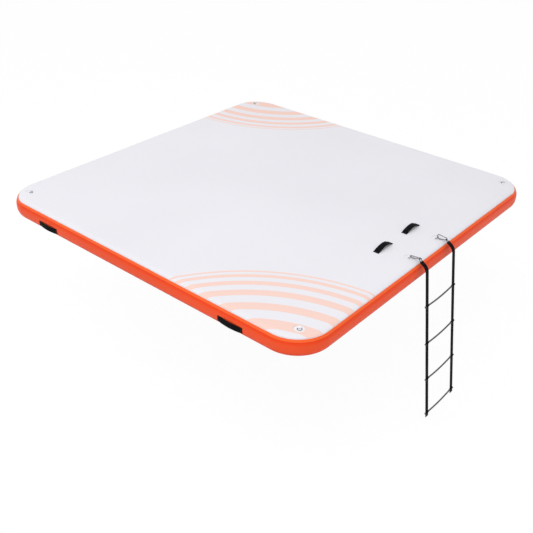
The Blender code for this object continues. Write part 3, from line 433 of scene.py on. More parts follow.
def paths_mesh(runs, closed=False):
    """Runs of points joined by edges, for a node tree to follow."""
    shape = bmesh.new()
    for points in runs:
        verts = [shape.verts.new(p) for p in points]
        following = verts[1:] + verts[:1] if closed else verts[1:]
        for pair in zip(verts, following):
            shape.edges.new(pair)
    mesh = bpy.data.meshes.new("paths")
    shape.to_mesh(mesh)
    shape.free()
    return mesh


def spun(profile, steps=64):
    """A profile of (radius, height) points turned about Z.

    It starts and ends on the axis, or closes on itself.
    """
    shape = bmesh.new()
    rings = []
    turns = [tau * k / steps for k in range(steps)]
    for radius, height in profile:
        if radius < WELD_DISTANCE:
            rings.append([shape.verts.new((0, 0, height))] * steps)
        else:
            ring = [(radius * cos(a), radius * sin(a), height) for a in turns]
            rings.append([shape.verts.new(p) for p in ring])
    following = rings[1:]
    if rings[0][0] is not rings[0][1]:
        following = rings[1:] + rings[:1]
    for ring, after in zip(rings, following):
        for k in range(steps):
            corners = list(dict.fromkeys((ring[k - 1], ring[k], after[k], after[k - 1])))
            if len(corners) > 2:
                shape.faces.new(corners)
    return mesh_from(shape)


def drill(radius, low, high, steps=64):
    """A plain cylinder about Z."""
    return spun([(0, low), (radius, low), (radius, high), (0, high)], steps)


def eased_rod(radius, low, high, ease):
    """Half section of a rod about Z whose two rims are eased."""
    start, end = (radius - ease, low), (radius - ease, high)
    return [(0, low), start, (radius, low + ease), (radius, high - ease), end, (0, high)]


def rounded(corners, radius, steps=EDGE_STEPS):
    """A closed outline with each of its corners rounded."""
    points = []
    for k, corner in enumerate(corners):
        here = Vector(corner)
        before = Vector(corners[k - 1]) - here
        after = Vector(corners[(k + 1) % len(corners)]) - here
        reach = min(radius, before.length / 2, after.length / 2)
        start, end = here + before.normalized() * reach, here + after.normalized() * reach
        for step in range(steps + 1):
            share = step / steps
            first, second = start.lerp(here, share), here.lerp(end, share)
            points.append(tuple(first.lerp(second, share)))
    return points


def slab(outline, thickness, bevel):
    """A flat outline in XY given a thickness across Z, with its two rims eased."""
    shape = bmesh.new()
    low = shape.faces.new([shape.verts.new((x, y, -thickness / 2)) for x, y in outline])
    made = bmesh.ops.extrude_face_region(shape, geom=[low])["geom"]
    raised = [v for v in made if isinstance(v, bmesh.types.BMVert)]
    bmesh.ops.translate(shape, vec=(0, 0, thickness), verts=raised)
    if bevel:
        flat = [f for f in shape.faces if abs(f.normal.z) > 0.5 or len(f.verts) > 4]
        rims = {e for f in flat for e in f.edges}
        bmesh.ops.bevel(shape, geom=list(rims), offset=bevel, segments=2, affect="EDGES")
    return mesh_from(shape)


def combined(base, operation, *tools):
    """A mesh with others joined to it or cut from it."""
    holder = placed("base", base)
    others = [placed("tool", tool) for tool in tools]
    for other in others:
        modifier = holder.modifiers.new("join", "BOOLEAN")
        modifier.operation = operation
        modifier.solver = "EXACT"
        modifier.object = other
    return plain_mesh(holder, *others)


def add_piece(name, mesh, body, finish, *nodes, smooth=WELD_ANGLE):
    """An object for a finished piece, riding on its body in place of the nodes it stands for."""
    mesh.name = name
    mesh.materials.clear()
    mesh.materials.append(finish_named(finish))
    mesh.shade_smooth()
    mesh.set_sharp_from_angle(angle=radians(smooth))
    piece = placed(name, mesh)
    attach(piece, body)
    if nodes:
        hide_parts(*nodes)
    return piece


def refinish(node, finish):
    """Gives a node of the frame its finish."""
    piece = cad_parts[node]
    piece.data.materials.clear()
    piece.data.materials.append(finish_named(finish))


# Node trees that sweep, sew and repeat


BEAD = {"Segments": 6, "Rings": 4, "Radius": 0.5}  # a stitch before it is stretched
TREES = {  # each tree's inputs, nodes and links
    # Carries a section of (offset, -height) points round the platform's rounded square.
    "section_round_platform": (
        {"Flat Side": "Float", "Flat Corner": "Float", "Corner Steps": "Int"},
        {
            "square": ("GeometryNodeCurvePrimitiveQuadrilateral", {}),
            "fillet": ("GeometryNodeFilletCurve", {"mode": "POLY"}),
            "upright": ("GeometryNodeSetCurveNormal", {"mode": "Z_UP"}),
            "section": ("GeometryNodeMeshToCurve", {}),
            "sweep": ("GeometryNodeCurveToMesh", {}),
        },
        (
            "given.Flat Side > square.Width",
            "given.Flat Side > square.Height",
            "square.Curve > fillet.Curve",
            "given.Flat Corner > fillet.Radius",
            "given.Corner Steps > fillet.Count",
            "fillet.Curve > upright.Curve",
            "upright.Curve > sweep.Curve",
            "given.Geometry > section.Mesh",
            "section.Curve > sweep.Profile Curve",
            "sweep.Mesh > real.Geometry",
        ),
    ),
    # A round wire or cord along each run of edges.
    "round_wire": (
        {"Radius": "Float", "Sides": "Int"},
        {
            "path": ("GeometryNodeMeshToCurve", {}),
            "circle": ("GeometryNodeCurvePrimitiveCircle", {}),
            "sweep": ("GeometryNodeCurveToMesh", {"Fill Caps": True}),
        },
        (
            "given.Geometry > path.Mesh",
            "given.Radius > circle.Radius",
            "given.Sides > circle.Resolution",
            "path.Curve > sweep.Curve",
            "circle.Curve > sweep.Profile Curve",
            "sweep.Mesh > real.Geometry",
        ),
    ),
    # A row of sewn stitches along each run of edges.
    "stitches": (
        {"Stitch": "Float", "Pitch": "Float", "Thread": "Float"},
        {
            "path": ("GeometryNodeMeshToCurve", {}),
            "spaced": ("GeometryNodeResampleCurve", {"mode": "LENGTH"}),
            "stitch": ("GeometryNodeMeshUVSphere", BEAD),
            "size": ("ShaderNodeCombineXYZ", {}),
            "tangent": ("GeometryNodeInputTangent", {}),
            "turn": ("FunctionNodeAlignRotationToVector", {"axis": "X"}),
            "placed": ("GeometryNodeInstanceOnPoints", {}),
        },
        (
            "given.Geometry > path.Mesh",
            "path.Curve > spaced.Curve",
            "given.Pitch > spaced.Length",
            "given.Stitch > size.X",
            "given.Thread > size.Y",
            "given.Thread > size.Z",
            "tangent.Tangent > turn.Vector",
            "spaced.Curve > placed.Points",
            "stitch.Mesh > placed.Instance",
            "turn.Rotation > placed.Rotation",
            "size.Vector > placed.Scale",
            "placed.Instances > real.Geometry",
        ),
    ),
    # Upright ribs set evenly round Z, each a block with its length along Z.
    "ribs": (
        {"Ribs": "Int", "Radius": "Float", "Size": "Vector"},
        {
            "ring": ("GeometryNodeMeshCircle", {}),
            "block": ("GeometryNodeMeshCube", {}),
            "place": ("GeometryNodeInputPosition", {}),
            "turn": ("FunctionNodeAlignRotationToVector", {"axis": "X"}),
            "placed": ("GeometryNodeInstanceOnPoints", {}),
        },
        (
            "given.Ribs > ring.Vertices",
            "given.Radius > ring.Radius",
            "given.Size > block.Size",
            "place.Position > turn.Vector",
            "ring.Mesh > placed.Points",
            "block.Mesh > placed.Instance",
            "turn.Rotation > placed.Rotation",
            "placed.Instances > real.Geometry",
        ),
    ),
}


def tree_named(name):
    """A tree by its name, built once from its row of the table, and ending in real geometry."""
    if name in bpy.data.node_groups:
        return bpy.data.node_groups[name]
    inputs, kinds, links = TREES[name]
    tree = bpy.data.node_groups.new(name, "GeometryNodeTree")
    sockets = {"Geometry": "Geometry", **inputs}
    for label, kind in sockets.items():
        tree.interface.new_socket(label, in_out="INPUT", socket_type=f"NodeSocket{kind}")
    tree.interface.new_socket("Geometry", in_out="OUTPUT", socket_type="NodeSocketGeometry")
    kinds = {
        "given": ("NodeGroupInput", {}),
        "real": ("GeometryNodeRealizeInstances", {}),
        "made": ("NodeGroupOutput", {}),
        **kinds,
    }
    nodes = {}
    for label, (kind, settings) in kinds.items():
        nodes[label] = tree.nodes.new(kind)
        for key, value in settings.items():
            if key.islower():
                setattr(nodes[label], key, value)
            else:
                nodes[label].inputs[key].default_value = value
    for line in (*links, "real.Geometry > made.Geometry"):
        (source, output), (target, taken) = (end.split(".") for end in line.split(" > "))
        tree.links.new(nodes[source].outputs[output], nodes[target].inputs[taken])
    return tree


def grown(runs, name, closed=False, **inputs):
    """The plain mesh that a tree makes from runs of points."""
    tree = tree_named(name)
    seed = placed("seed", paths_mesh(runs, closed))
    grow = seed.modifiers.new(name, "NODES")
    grow.node_group = tree
    for socket in tree.interface.items_tree:
        key = socket.name.replace(" ", "_").lower()
        if socket.in_out == "INPUT" and key in inputs:
            grow[socket.identifier] = inputs[key]
    shape = bmesh.new()
    shape.from_mesh(plain_mesh(seed))
    return mesh_from(shape)


def wire(points, radius, closed=False, sides=WIRE_SIDES):
    return grown([points], "round_wire", closed, radius=radius, sides=sides)


def stitches(runs):
    sewing = sizes("sewing")
    return grown(
        runs, "stitches", stitch=sewing.stitch, pitch=sewing.pitch, thread=sewing.thread
    )


# Materials


class Nodes:
    """A tree of shader nodes, filled by label with values and links."""

    def __init__(self, tree):
        self.nodes = tree.nodes
        self.link = tree.links.new

    def put(self, socket, value):
        """Gives an input a link, a number or a colour, or leaves it if there is none."""
        if isinstance(value, bpy.types.NodeSocket):
            self.link(value, socket)
        elif value is not None:
            socket.default_value = (*value[:3], 1) if socket.type == "RGBA" else value

    def fill(self, node, **given):
        """Fills a node's inputs by label, with _ in place of a space."""
        for label, value in given.items():
            self.put(node.inputs[label.replace("_", " ")], value)
        return node

    def node(self, kind, **given):
        return self.fill(self.nodes.new(f"ShaderNode{kind}"), **given)

    def math(self, operation, *values):
        node = self.node("Math")
        node.operation = operation
        for socket, value in zip(node.inputs, values):
            self.put(socket, value)
        return node.outputs[0]

    def seen(self):
        """One for what the camera sees, directly or in a mirror or through glass."""
        rays = self.node("LightPath").outputs
        direct = self.math("MAXIMUM", rays["Is Camera Ray"], rays["Is Glossy Ray"])
        return self.math("MAXIMUM", direct, rays["Is Transmission Ray"])

    def end(self, output, share, first, second):
        """Ends the tree in two shaders, mixed by a share."""
        blend = self.node("MixShader", Fac=share)
        self.put(blend.inputs[1], first)
        self.put(blend.inputs[2], second)
        self.fill(self.nodes[output], Surface=blend.outputs["Shader"])


class Finish(Nodes):
    """A Principled material with the few nodes that each finish here is made of."""

    def __init__(self, base, roughness, metallic=0.0, **sockets):
        self.material = bpy.data.materials.new("finish")
        self.material.use_nodes = True
        super().__init__(self.material.node_tree)
        self.shader = self.nodes["Principled BSDF"]
        self.fill(self.shader, Base_Color=base, Roughness=roughness, Metallic=metallic)
        self.fill(self.shader, **sockets)
        self.normal = None
        self.place = self.node("TexCoord").outputs["Object"]

    def uv(self):
        """Reads the webbing's own map, in metres along and across it."""
        node = self.node("UVMap")
        node.uv_map = "webbing"
        self.place = node.outputs["UV"]

    def axis(self, name):
        """The place along X, Y or Z."""
        return self.node("SeparateXYZ", Vector=self.place).outputs[name]

    def scaled(self, scale, shift=(0, 0, 0)):
        mapping = self.node("Mapping", Vector=self.place, Scale=scale, Location=shift)
        return mapping.outputs["Vector"]

    def noise(self, scale, detail=3, vector=None):
        vector = vector or self.place
        return self.node("TexNoise", Scale=scale, Detail=detail, Vector=vector).outputs["Fac"]

    def wave(self, pitch, direction, distortion=0.0):
        """Even ridges, a pitch apart, across X, Y or Z."""
        node = self.node("TexWave", Scale=WAVE_LENGTH / pitch, Distortion=distortion)
        self.fill(node, Detail=0, Vector=self.place)
        node.bands_direction = direction
        return node.outputs["Fac"]

    def span(self, value, low, high, start=0.0, end=1.0):
        """A value between two limits carried to another range, and clamped to it."""
        node = self.node("MapRange", Value=value, From_Min=low, From_Max=high)
        return self.fill(node, To_Min=start, To_Max=end).outputs["Result"]

    def mixed(self, share, first, second, blend="MIX"):
        """Two colours mixed by a share, each a colour or a socket."""
        node = self.node("Mix")
        node.data_type = "RGBA"
        node.blend_type = blend
        for index, value in zip(MIX_INPUTS, (share, first, second)):
            self.put(node.inputs[index], value)
        return node.outputs[MIX_OUTPUT]

    def clouded(self, base, scale, detail, dark, light):
        """A colour that drifts between a darker and a lighter shade of it."""
        share = self.span(self.noise(scale, detail), CLOUD_LOW, CLOUD_HIGH)
        return self.mixed(share, shade(base, dark), shade(base, light))

    def base(self, socket):
        self.fill(self.shader, Base_Color=socket)

    def tinted(self, share, tint):
        """Multiplies the colour made so far by a tint, as far as the share goes."""
        base = self.shader.inputs["Base Color"].links[0].from_socket
        self.base(self.mixed(share, base, tint, blend="MULTIPLY"))

    def rough(self, socket, low, high):
        """Roughness that runs between two values with a texture."""
        self.fill(self.shader, Roughness=self.span(socket, MARK_LOW, MARK_HIGH, low, high))

    def bump(self, height, strength, distance):
        """Raises the surface by a texture, on top of what was raised before."""
        node = self.node("Bump", Strength=strength, Distance=distance, Height=height)
        self.normal = self.fill(node, Normal=self.normal).outputs["Normal"]
        self.fill(self.shader, Normal=self.normal)


def shade(base, factor):
    """A colour made lighter or darker."""
    return tuple(min(value * factor, 1) for value in base)


def coated_fabric(base, roughness):
    """Reinforced vinyl: a smooth coat that shows its scrim, with faint handling marks."""
    made = Finish(base, roughness, Specular_IOR_Level=0.12)
    tone = made.clouded(base, scale=1.7, detail=4, dark=0.955, light=1.03)
    fine = made.noise(scale=38)
    marks = made.span(fine, MARK_LOW, MARK_HIGH, end=0.5)
    made.base(made.mixed(marks, tone, shade(base, 0.98)))
    made.rough(fine, low=roughness - 0.05, high=roughness + 0.07)
    for direction in "XYZ":
        made.bump(made.wave(SCRIM_PITCH, direction), strength=0.12, distance=0.00006)
    return made


def seam_shaded(made):
    """Darker lines on the band, just below the upper tape and above the lower one: glue lines with
    painted shade where each tape's edge stands off the wall.
    """
    outline = platform()
    given = outline.given
    edge = outline.centre_z + given.edge_radius * cos(given.tape_end)
    middle = given.thickness / 2
    off = made.math("ABSOLUTE", made.math("SUBTRACT", made.axis("Z"), middle))
    below = made.math("SUBTRACT", edge - middle, off)
    line = made.span(below, GLUE_SHADE_LINE, GLUE_SHADE_LINE * GLUE_SHADE_FADE, start=1.0, end=0.0)
    streaks = made.noise(scale=26, vector=made.scaled((1, 1, 0.2)))
    depth = made.span(streaks, low=0.25, high=0.75, start=0.6, end=0.85)
    made.tinted(made.math("MULTIPLY", line, depth), GLUE_SHADE_TINT)
    return made


def undershaded(made):
    """Painted shade: darker and duller towards the underside, which faces away from the light."""
    share = made.span(made.axis("Z"), UNDERSIDE_SHADE_LOW, UNDERSIDE_SHADE_HIGH, start=0.75, end=0.0)
    made.tinted(share, UNDERSIDE_SHADE_TINT)
    return made


def wrinkled(made, depth):
    """Faint upright folds where the band turns round the platform's corners."""
    outline = platform()
    start = outline.flat_side / 2 - outline.flat_corner
    reaches = [
        made.span(made.math("ABSOLUTE", made.axis(name)), start - FOLD_LEAD, start + FOLD_FULL)
        for name in "XY"
    ]
    folds = made.noise(scale=9, vector=made.scaled((2.4, 2.4, 0.55)))
    height = made.math("MULTIPLY", made.math("MULTIPLY", *reaches), folds)
    made.bump(height, strength=0.55, distance=depth)
    long_folds = made.noise(scale=5, detail=2, vector=made.scaled((0.7, 0.7, 2.6)))
    made.bump(long_folds, strength=0.2, distance=depth * 0.3)
    return made


def striped(made, tone):
    """Plain rings printed round two centres outside the deck, over the ground's tone."""
    given = sizes("platform")
    colours = sizes("colours")
    for x, y, rings, ink in (
        (given.stripe_near_x, given.stripe_near_y, NEAR_STRIPES, colours.near_stripe),
        (given.stripe_far_x, given.stripe_far_y, FAR_STRIPES, colours.far_stripe),
    ):
        reach = made.node("VectorMath")
        reach.operation = "LENGTH"
        made.put(reach.inputs[0], made.scaled((1, 1, 0), (-x, -y, 0)))
        ramp = made.node("ValToRGB")
        stops = ramp.color_ramp
        stops.interpolation = "CONSTANT"
        stops.elements[0].color = (0, 0, 0, 1)
        stops.elements[1].position = 1.0
        stops.elements[1].color = (0, 0, 0, 1)
        for inner, outer in rings:
            stops.elements.new(inner / STRIPE_LIMIT).color = (1, 1, 1, 1)
            stops.elements.new(outer / STRIPE_LIMIT).color = (0, 0, 0, 1)
        made.fill(ramp, Fac=made.math("DIVIDE", reach.outputs["Value"], STRIPE_LIMIT))
        tone = made.mixed(ramp.outputs["Color"], tone, tuple(ink))
    return tone


def deck_finish(base):
    """The foam deck's printed coat, with a fine embossed grain."""
    made = Finish(base, roughness=0.55, Coat_Weight=0.05)
    ground = made.clouded(base, scale=0.9, detail=4, dark=0.98, light=1.012)
    tone = striped(made, ground)
    speck = made.span(made.noise(scale=240, detail=2), CLOUD_LOW, CLOUD_HIGH, end=0.05)
    made.base(made.mixed(speck, tone, shade(base, 0.75)))
    made.rough(made.noise(scale=14), low=0.5, high=0.62)
    grain = made.node("TexVoronoi", Scale=420, Vector=made.place)
    made.bump(grain.outputs["Distance"], strength=0.35, distance=0.00025)
    made.bump(made.noise(scale=3.5, detail=2), strength=0.2, distance=0.0012)
    return made


def webbing_finish(base, mapped=True):
    """Woven webbing: ridges across it, a twill along it, and a dull surface."""
    pitch = sizes("sewing").rib
    made = Finish(base, roughness=0.62, Specular_IOR_Level=0.05)
    if mapped:
        made.uv()
    ridge = made.wave(pitch, "X", distortion=0.4)
    twill = made.math("MULTIPLY", made.wave(pitch * TWILL_PITCH, "Y"), TWILL_SHARE)
    weave = made.math("MULTIPLY", ridge, made.math("ADD", 1 - TWILL_SHARE, twill))
    fuzz = made.noise(scale=900, detail=2)
    tone = made.mixed(weave, shade(base, 0.6), shade(base, 1.35))
    worn = made.span(made.noise(scale=12), WORN_LOW, WORN_HIGH, end=0.3)
    made.base(made.mixed(worn, tone, shade(base, 1.5)))
    made.rough(fuzz, low=0.55, high=0.78)
    made.bump(weave, strength=0.85, distance=0.0006)
    made.bump(fuzz, strength=0.3, distance=0.0002)
    return made


def thread_finish(base):
    """Twisted thread."""
    made = Finish(base, roughness=0.7, Sheen_Weight=0.2)
    twist = made.wave(TWIST_PITCH, "DIAGONAL")
    made.base(made.mixed(twist, shade(base, 0.7), shade(base, 1.35)))
    made.rough(made.noise(scale=600, detail=2), low=0.6, high=0.8)
    made.bump(twist, strength=0.5, distance=0.0001)
    return made


def steel_finish(base):
    """Polished steel with fine drawing marks and a few dull spots."""
    made = Finish(base, roughness=0.2, metallic=1.0)
    marks = made.noise(scale=160, detail=4, vector=made.scaled((1, 1, 9)))
    dull = made.span(made.noise(scale=55), WORN_LOW, WORN_HIGH, end=0.5)
    made.base(made.mixed(dull, base, shade(base, 0.72)))
    made.rough(marks, low=0.14, high=0.3)
    made.bump(marks, strength=0.1, distance=0.00004)
    return made


def moulded_finish(base, roughness):
    """Moulded plastic or rubber with a spark-eroded grain."""
    made = Finish(base, roughness)
    grain = made.noise(scale=1400, detail=2)
    made.base(made.clouded(base, scale=30, detail=3, dark=0.9, light=1.1))
    made.rough(grain, low=roughness - 0.06, high=roughness + 0.08)
    made.bump(grain, strength=0.3, distance=0.00006)
    return made


def core_finish(base):
    """Knitted plies and their polyester threads."""
    made = Finish(base, roughness=0.85, Sheen_Weight=0.25)
    knit = made.math("MULTIPLY", made.wave(KNIT_PITCH, "X"), made.wave(KNIT_PITCH, "Y"))
    made.base(made.mixed(knit, shade(base, 0.82), shade(base, 1.04)))
    made.rough(made.noise(scale=300, detail=2), low=0.75, high=0.9)
    made.bump(knit, strength=0.6, distance=0.0003)
    return made


FINISHES = {  # each finish's slot, colour and maker
    "skin": ("skin_white", "skin", lambda base: coated_fabric(base, roughness=0.42)),
    "band": (
        "band_orange",
        "band",
        lambda base: undershaded(
            seam_shaded(wrinkled(coated_fabric(base, roughness=0.4), depth=0.006))
        ),
    ),
    "tape": (
        "tape_orange",
        "tape",
        lambda base: undershaded(wrinkled(coated_fabric(base, roughness=0.38), depth=0.003)),
    ),
    "deck": ("deck_white", "deck", deck_finish),
    "webbing": ("webbing_black", "webbing", webbing_finish),
    "cord": ("webbing_black", "webbing", lambda base: webbing_finish(base, mapped=False)),
    "thread": ("webbing_black", "thread", thread_finish),
    "thread_white": ("skin_white", "skin", thread_finish),
    "steel": ("steel", "steel", steel_finish),
    "rung": ("rung_grey", "rung", lambda base: moulded_finish(base, roughness=0.45)),
    "valve": ("valve_grey", "valve", lambda base: moulded_finish(base, roughness=0.42)),
    "rubber": ("valve_black", "rubber", lambda base: moulded_finish(base, roughness=0.55)),
    "core": ("core_thread", "core", core_finish),
}


def finish_named(name):
    """A finish by name, made once."""
    key = f"dock_{name}"
    if key not in bpy.data.materials:
        _, colour_name, maker = FINISHES[name]
        maker(tuple(getattr(sizes("colours"), colour_name))).material.name = key
    return bpy.data.materials[key]


# Platform


def edge_stations(radius, start, end):
    """Points of (offset, height) round the upper edge, between two angles from the flat top."""
    outline = platform()
    marks = {radians(k) for k in range(0, 91, EDGE_STEP)}
    given = outline.given
    marks |= {given.pad_end, given.tape_start, given.tape_end, given.band_end, given.skin_lap}
    low, high = sorted((start, end))
    angles = sorted(a for a in marks if low - ANGLE_MATCH <= a <= high + ANGLE_MATCH)
    angles = [a for k, a in enumerate(angles) if k == 0 or a - angles[k - 1] > ANGLE_APART]
    stations = [(radius * sin(a), outline.centre_z + radius * cos(a)) for a in angles]
    return stations if start < end else stations[::-1]


def mirrored(stations):
    """The same points round the lower edge."""
    thickness = platform().given.thickness
    return [(offset, thickness - height) for offset, height in stations]


def carried(stations, closed):
    """A shell whose section runs through the stations, carried round the platform's plan."""
    outline = platform()
    mesh = grown(
        [[(offset, -height, 0) for offset, height in stations]],
        "section_round_platform",
        closed,
        flat_side=outline.flat_side,
        flat_corner=outline.flat_corner,
        corner_steps=outline.given.corner_steps - 1,
    )
    shape = bmesh.new()
    shape.from_mesh(mesh)
    if not closed:
        rims = [e for e in shape.edges if e.is_boundary]
        bmesh.ops.holes_fill(shape, edges=rims, sides=0)
    return mesh_from(shape)


def dished(outer, thickness, end):
    """A sheet that lies on the flat top and turns down round the edge."""
    return edge_stations(outer, 0, end) + edge_stations(outer - thickness, end, 0)


class DOCK_OT_skins(bpy.types.Operator):
    """Makes the upper and lower skins of the air chamber"""

    bl_idname = "dock.skins"
    bl_label = "Skins"

    def execute(self, context):
        outline = platform()
        section = dished(outline.skin_radius, outline.given.skin, outline.given.skin_lap)
        upper, lower = carried(section, False), carried(mirrored(section), False)
        add_piece("upper_skin", upper, "platform", "skin", "top_skin")
        add_piece("lower_skin", lower, "platform", "skin", "bottom_skin")
        return {"FINISHED"}


class DOCK_OT_side_band(bpy.types.Operator):
    """Makes the side band, pierced for the valve, and the tapes welded over its two seams"""

    bl_idname = "dock.side_band"
    bl_label = "Side band and tapes"

    def execute(self, context):
        given = platform().given
        outside = edge_stations(given.edge_radius, given.band_end, pi / 2)
        inside = edge_stations(given.edge_radius - given.band, given.band_end, pi / 2)
        section = outside + mirrored(outside[::-1])[1:]
        section += mirrored(inside) + inside[::-1][1:]
        radius = sizes("valve").barrel + SEAT_GAP
        hole = moved(drill(radius, -radius, radius), valve_matrix())
        band = combined(carried(section, True), "DIFFERENCE", hole)
        add_piece("side_wall_band", band, "platform", "band", "side_band")
        inner = given.edge_radius + SEAT_GAP
        tape = edge_stations(inner + given.tape, given.tape_start, given.tape_end)
        tape += edge_stations(inner, given.tape_end, given.tape_start)
        for level, stations in (("upper", tape), ("lower", mirrored(tape))):
            mesh = carried(stations, True)
            add_piece(f"{level}_tape", mesh, "platform", "tape", f"{level}_seam_tape")
        return {"FINISHED"}


class DOCK_OT_deck_pad(bpy.types.Operator):
    """Makes the striped deck pad, with a round hole for each ring's patch"""

    bl_idname = "dock.deck_pad"
    bl_label = "Deck pad"

    def execute(self, context):
        outline = platform()
        pad = outline.given.pad
        rings = sizes("rings")
        outer = outline.skin_radius + SEAT_GAP + pad
        mesh = carried(dished(outer, pad, outline.given.pad_end), False)
        radius = rings.patch_radius + rings.pad_clearance
        low, high = outline.patch_low - pad, outline.pad_top + pad
        holes = [
            moved(drill(radius, low, high, SPIN_STEPS), (x, y, 0))
            for x, y in ring_places().values()
        ]
        mesh = combined(mesh, "DIFFERENCE", *holes)
        add_piece("striped_deck_pad", mesh, "platform", "deck", "deck_pad")
        refinish("drop_stitch_core", "core")
        return {"FINISHED"}


# Lifting rings


def ring_places():
    """Each ring's name with the middle of its patch, as the frame has it."""
    names = [f"{corner}_corner" for corner in BOWS] + [f"ladder_{side}" for side in SIDES]
    places = {}
    for name in names:
        low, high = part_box(f"{name}_patch")
        places[name] = ((low.x + high.x) / 2, (low.y + high.y) / 2)
    return places


def bow_angle(name):
    """The way that a ring's bow points, in degrees from +X."""
    return 0 if name.startswith("ladder") else BOWS[name.removesuffix("_corner")]


def tab_radii():
    """Radius of the hole round a ring's bar, and of the tab outside it."""
    rings = sizes("rings")
    hole = rings.wire / 2 + SEAT_GAP
    return hole, hole + rings.tab_ply


def bar_height():
    return platform().patch_top + SEAT_GAP + tab_radii()[1]


def ring_path():
    """The ring's wire: a straight bar along Y and a round bow towards +X."""
    rings = sizes("rings")
    half = (rings.inner_width + rings.wire) / 2
    radius = rings.corner
    lower = arc((radius, radius - half), radius, 180, 270, EDGE_STEPS)
    bow = arc((rings.depth - half, 0), half, -90, 90, BOW_STEPS)
    upper = arc((radius, half - radius), radius, 90, 180, EDGE_STEPS)
    return [(x, y, 0) for x, y in lower + bow + upper]


def tab_outline():
    """Webbing folded round the bar, its two plies running back under the ring."""
    rings = sizes("rings")
    radius = tab_radii()[1]
    flat = radius - 2 * rings.tab_ply
    join_angle = 180 + degrees(asin(flat / radius))
    wrap = arc((0, 0), radius, -90, join_angle, BEND_STEPS)
    return wrap + [(-rings.tab_leg, -flat), (-rings.tab_leg, -radius)]


def patch_profile():
    """Half section of a round patch: a thin disc with an eased rim and a welded ridge."""
    rings = sizes("rings")
    outline = platform()
    low, high, rim = outline.patch_low, outline.patch_top, rings.patch_radius
    ease = rings.patch / 2
    ridge = rings.tab_ply / 5
    inner = rim * RIDGE_PLACE
    groove = [(inner + ease, high), (inner, high - ridge), (inner - ease, high)]
    edge = arc((rim - ease, high - ease), ease, 0, 90, PATCH_STEPS)
    return [(0, low), (rim, low)] + edge + groove + [(0, high)]


class DOCK_OT_lifting_rings(bpy.types.Operator):
    """Makes each lifting ring, the tab round its bar and the round patch under it"""

    bl_idname = "dock.lifting_rings"
    bl_label = "Lifting rings"

    def execute(self, context):
        rings = sizes("rings")
        hole, outer = tab_radii()
        rows = []
        for name, (x, y) in ring_places().items():
            patch = moved(spun(patch_profile(), SPIN_STEPS), (x, y, 0))
            add_piece(f"{name}_round_patch", patch, "platform", "skin", f"{name}_patch")
            turn = turned(radians(bow_angle(name)), "Z")
            bar = Matrix.Translation((x, y, bar_height())) @ turn
            bore = drill(hole, -1, 1, BORE_SIDES)
            tab = combined(slab(tab_outline(), rings.tab_width, 0), "DIFFERENCE", bore)
            moved(tab, bar @ turned(pi / 2, "X"))
            add_piece(f"{name}_folded_tab", tab, "platform", "skin", f"{name}_tab")
            tilt = -asin((outer - rings.wire / 2) / rings.depth)
            body = f"{name}_lifting_ring"
            if name.startswith("ladder"):
                tilt = ladder_ring_tilt(name.removeprefix("ladder_"))
                body = f"{name}_hook_ring"
            ring = moved(wire(ring_path(), rings.wire / 2, closed=True), bar @ turned(-tilt, "Y"))
            add_piece(f"{name}_steel_ring", ring, body, "steel", f"{name}_ring", smooth=WIRE_WELD)
            rows += tab_rows(bar)
        add_piece("tab_stitching", stitches(rows), "platform", "thread_white")
        return {"FINISHED"}


def tab_rows(bar):
    """The two rows of stitches across a tab's legs, on their upper face."""
    rings = sizes("rings")
    top = 2 * rings.tab_ply - tab_radii()[1]
    reach = rings.tab_width / 2 - rings.tab_ply
    places = [-rings.tab_leg * share for share in TAB_ROWS]
    return [[bar @ Vector((x, y, top)) for y in (-reach, reach)] for x in places]


# Snap hooks


def hook_sizes():
    """The hooks' sizes, with those that follow from them."""
    given = sizes("hooks")
    wire_radius = given.wire / 2
    wide = given.width / 2 - wire_radius
    narrow = given.narrow / 2 - wire_radius
    span = given.length - given.width / 2 - given.narrow / 2
    slope = asin((wide - narrow) / span)
    ring = sizes("rings").wire / 2
    return SimpleNamespace(
        given=given,
        wire=wire_radius,
        wide=wide,
        narrow=narrow,
        span=span,
        slope=slope,
        run=span * cos(slope),
        ring_pass=wide - wire_radius - ring - given.ring_clearance,
        roll={"left": given.roll_left, "right": given.roll_right},
        tilt={"left": given.tilt_left, "right": given.tilt_right},
        seat={"left": 0.0, "right": pi / 4},
    )


def side_y(side):
    ladder = sizes("ladder")
    way = -1 if side == "left" else 1
    return ladder.centre_y + way * ladder.spacing / 2


def strap_start():
    """Where the webbing starts, beyond the hook: (x, z)."""
    ladder = sizes("ladder")
    outline = platform()
    return outline.half - ladder.start_inset, outline.pad_top + ladder.start_rise


def hook_matrix(side):
    """The hook's frame: X to its narrow end, Z to its gate, about the wide bend's centre."""
    hook = hook_sizes()
    tilt, roll = hook.tilt[side], hook.roll[side]
    lowest = hypot(sin(tilt), cos(tilt) * cos(roll))
    reach = (hook.span + hook.narrow) * cos(tilt) + sizes("ladder").reach
    height = platform().pad_top + SEAT_GAP + hook.wire + hook.wide * lowest
    centre = Vector((strap_start()[0] - reach, side_y(side), height))
    turn = turned(-tilt, "Y") @ turned(roll, "X")
    return Matrix.Translation(centre) @ turn


def ladder_ring_tilt(side):
    """Angle that the hook holds its ring up from the deck."""
    hook = hook_sizes()
    seat = hook.seat[side]
    inside = Vector((-hook.ring_pass * cos(seat), 0, -hook.ring_pass * sin(seat)))
    bow = hook_matrix(side) @ inside
    return asin((bow.z - bar_height()) / sizes("rings").depth)


def gate_line():
    """Start, unit direction and pin's place on the gate's side, in the hook's frame."""
    hook = hook_sizes()
    start = Vector((sin(hook.slope), 0, cos(hook.slope))) * hook.wide
    along = Vector((cos(hook.slope), 0, -sin(hook.slope)))
    return start, along, start + along * (hook.run - hook.given.setback)


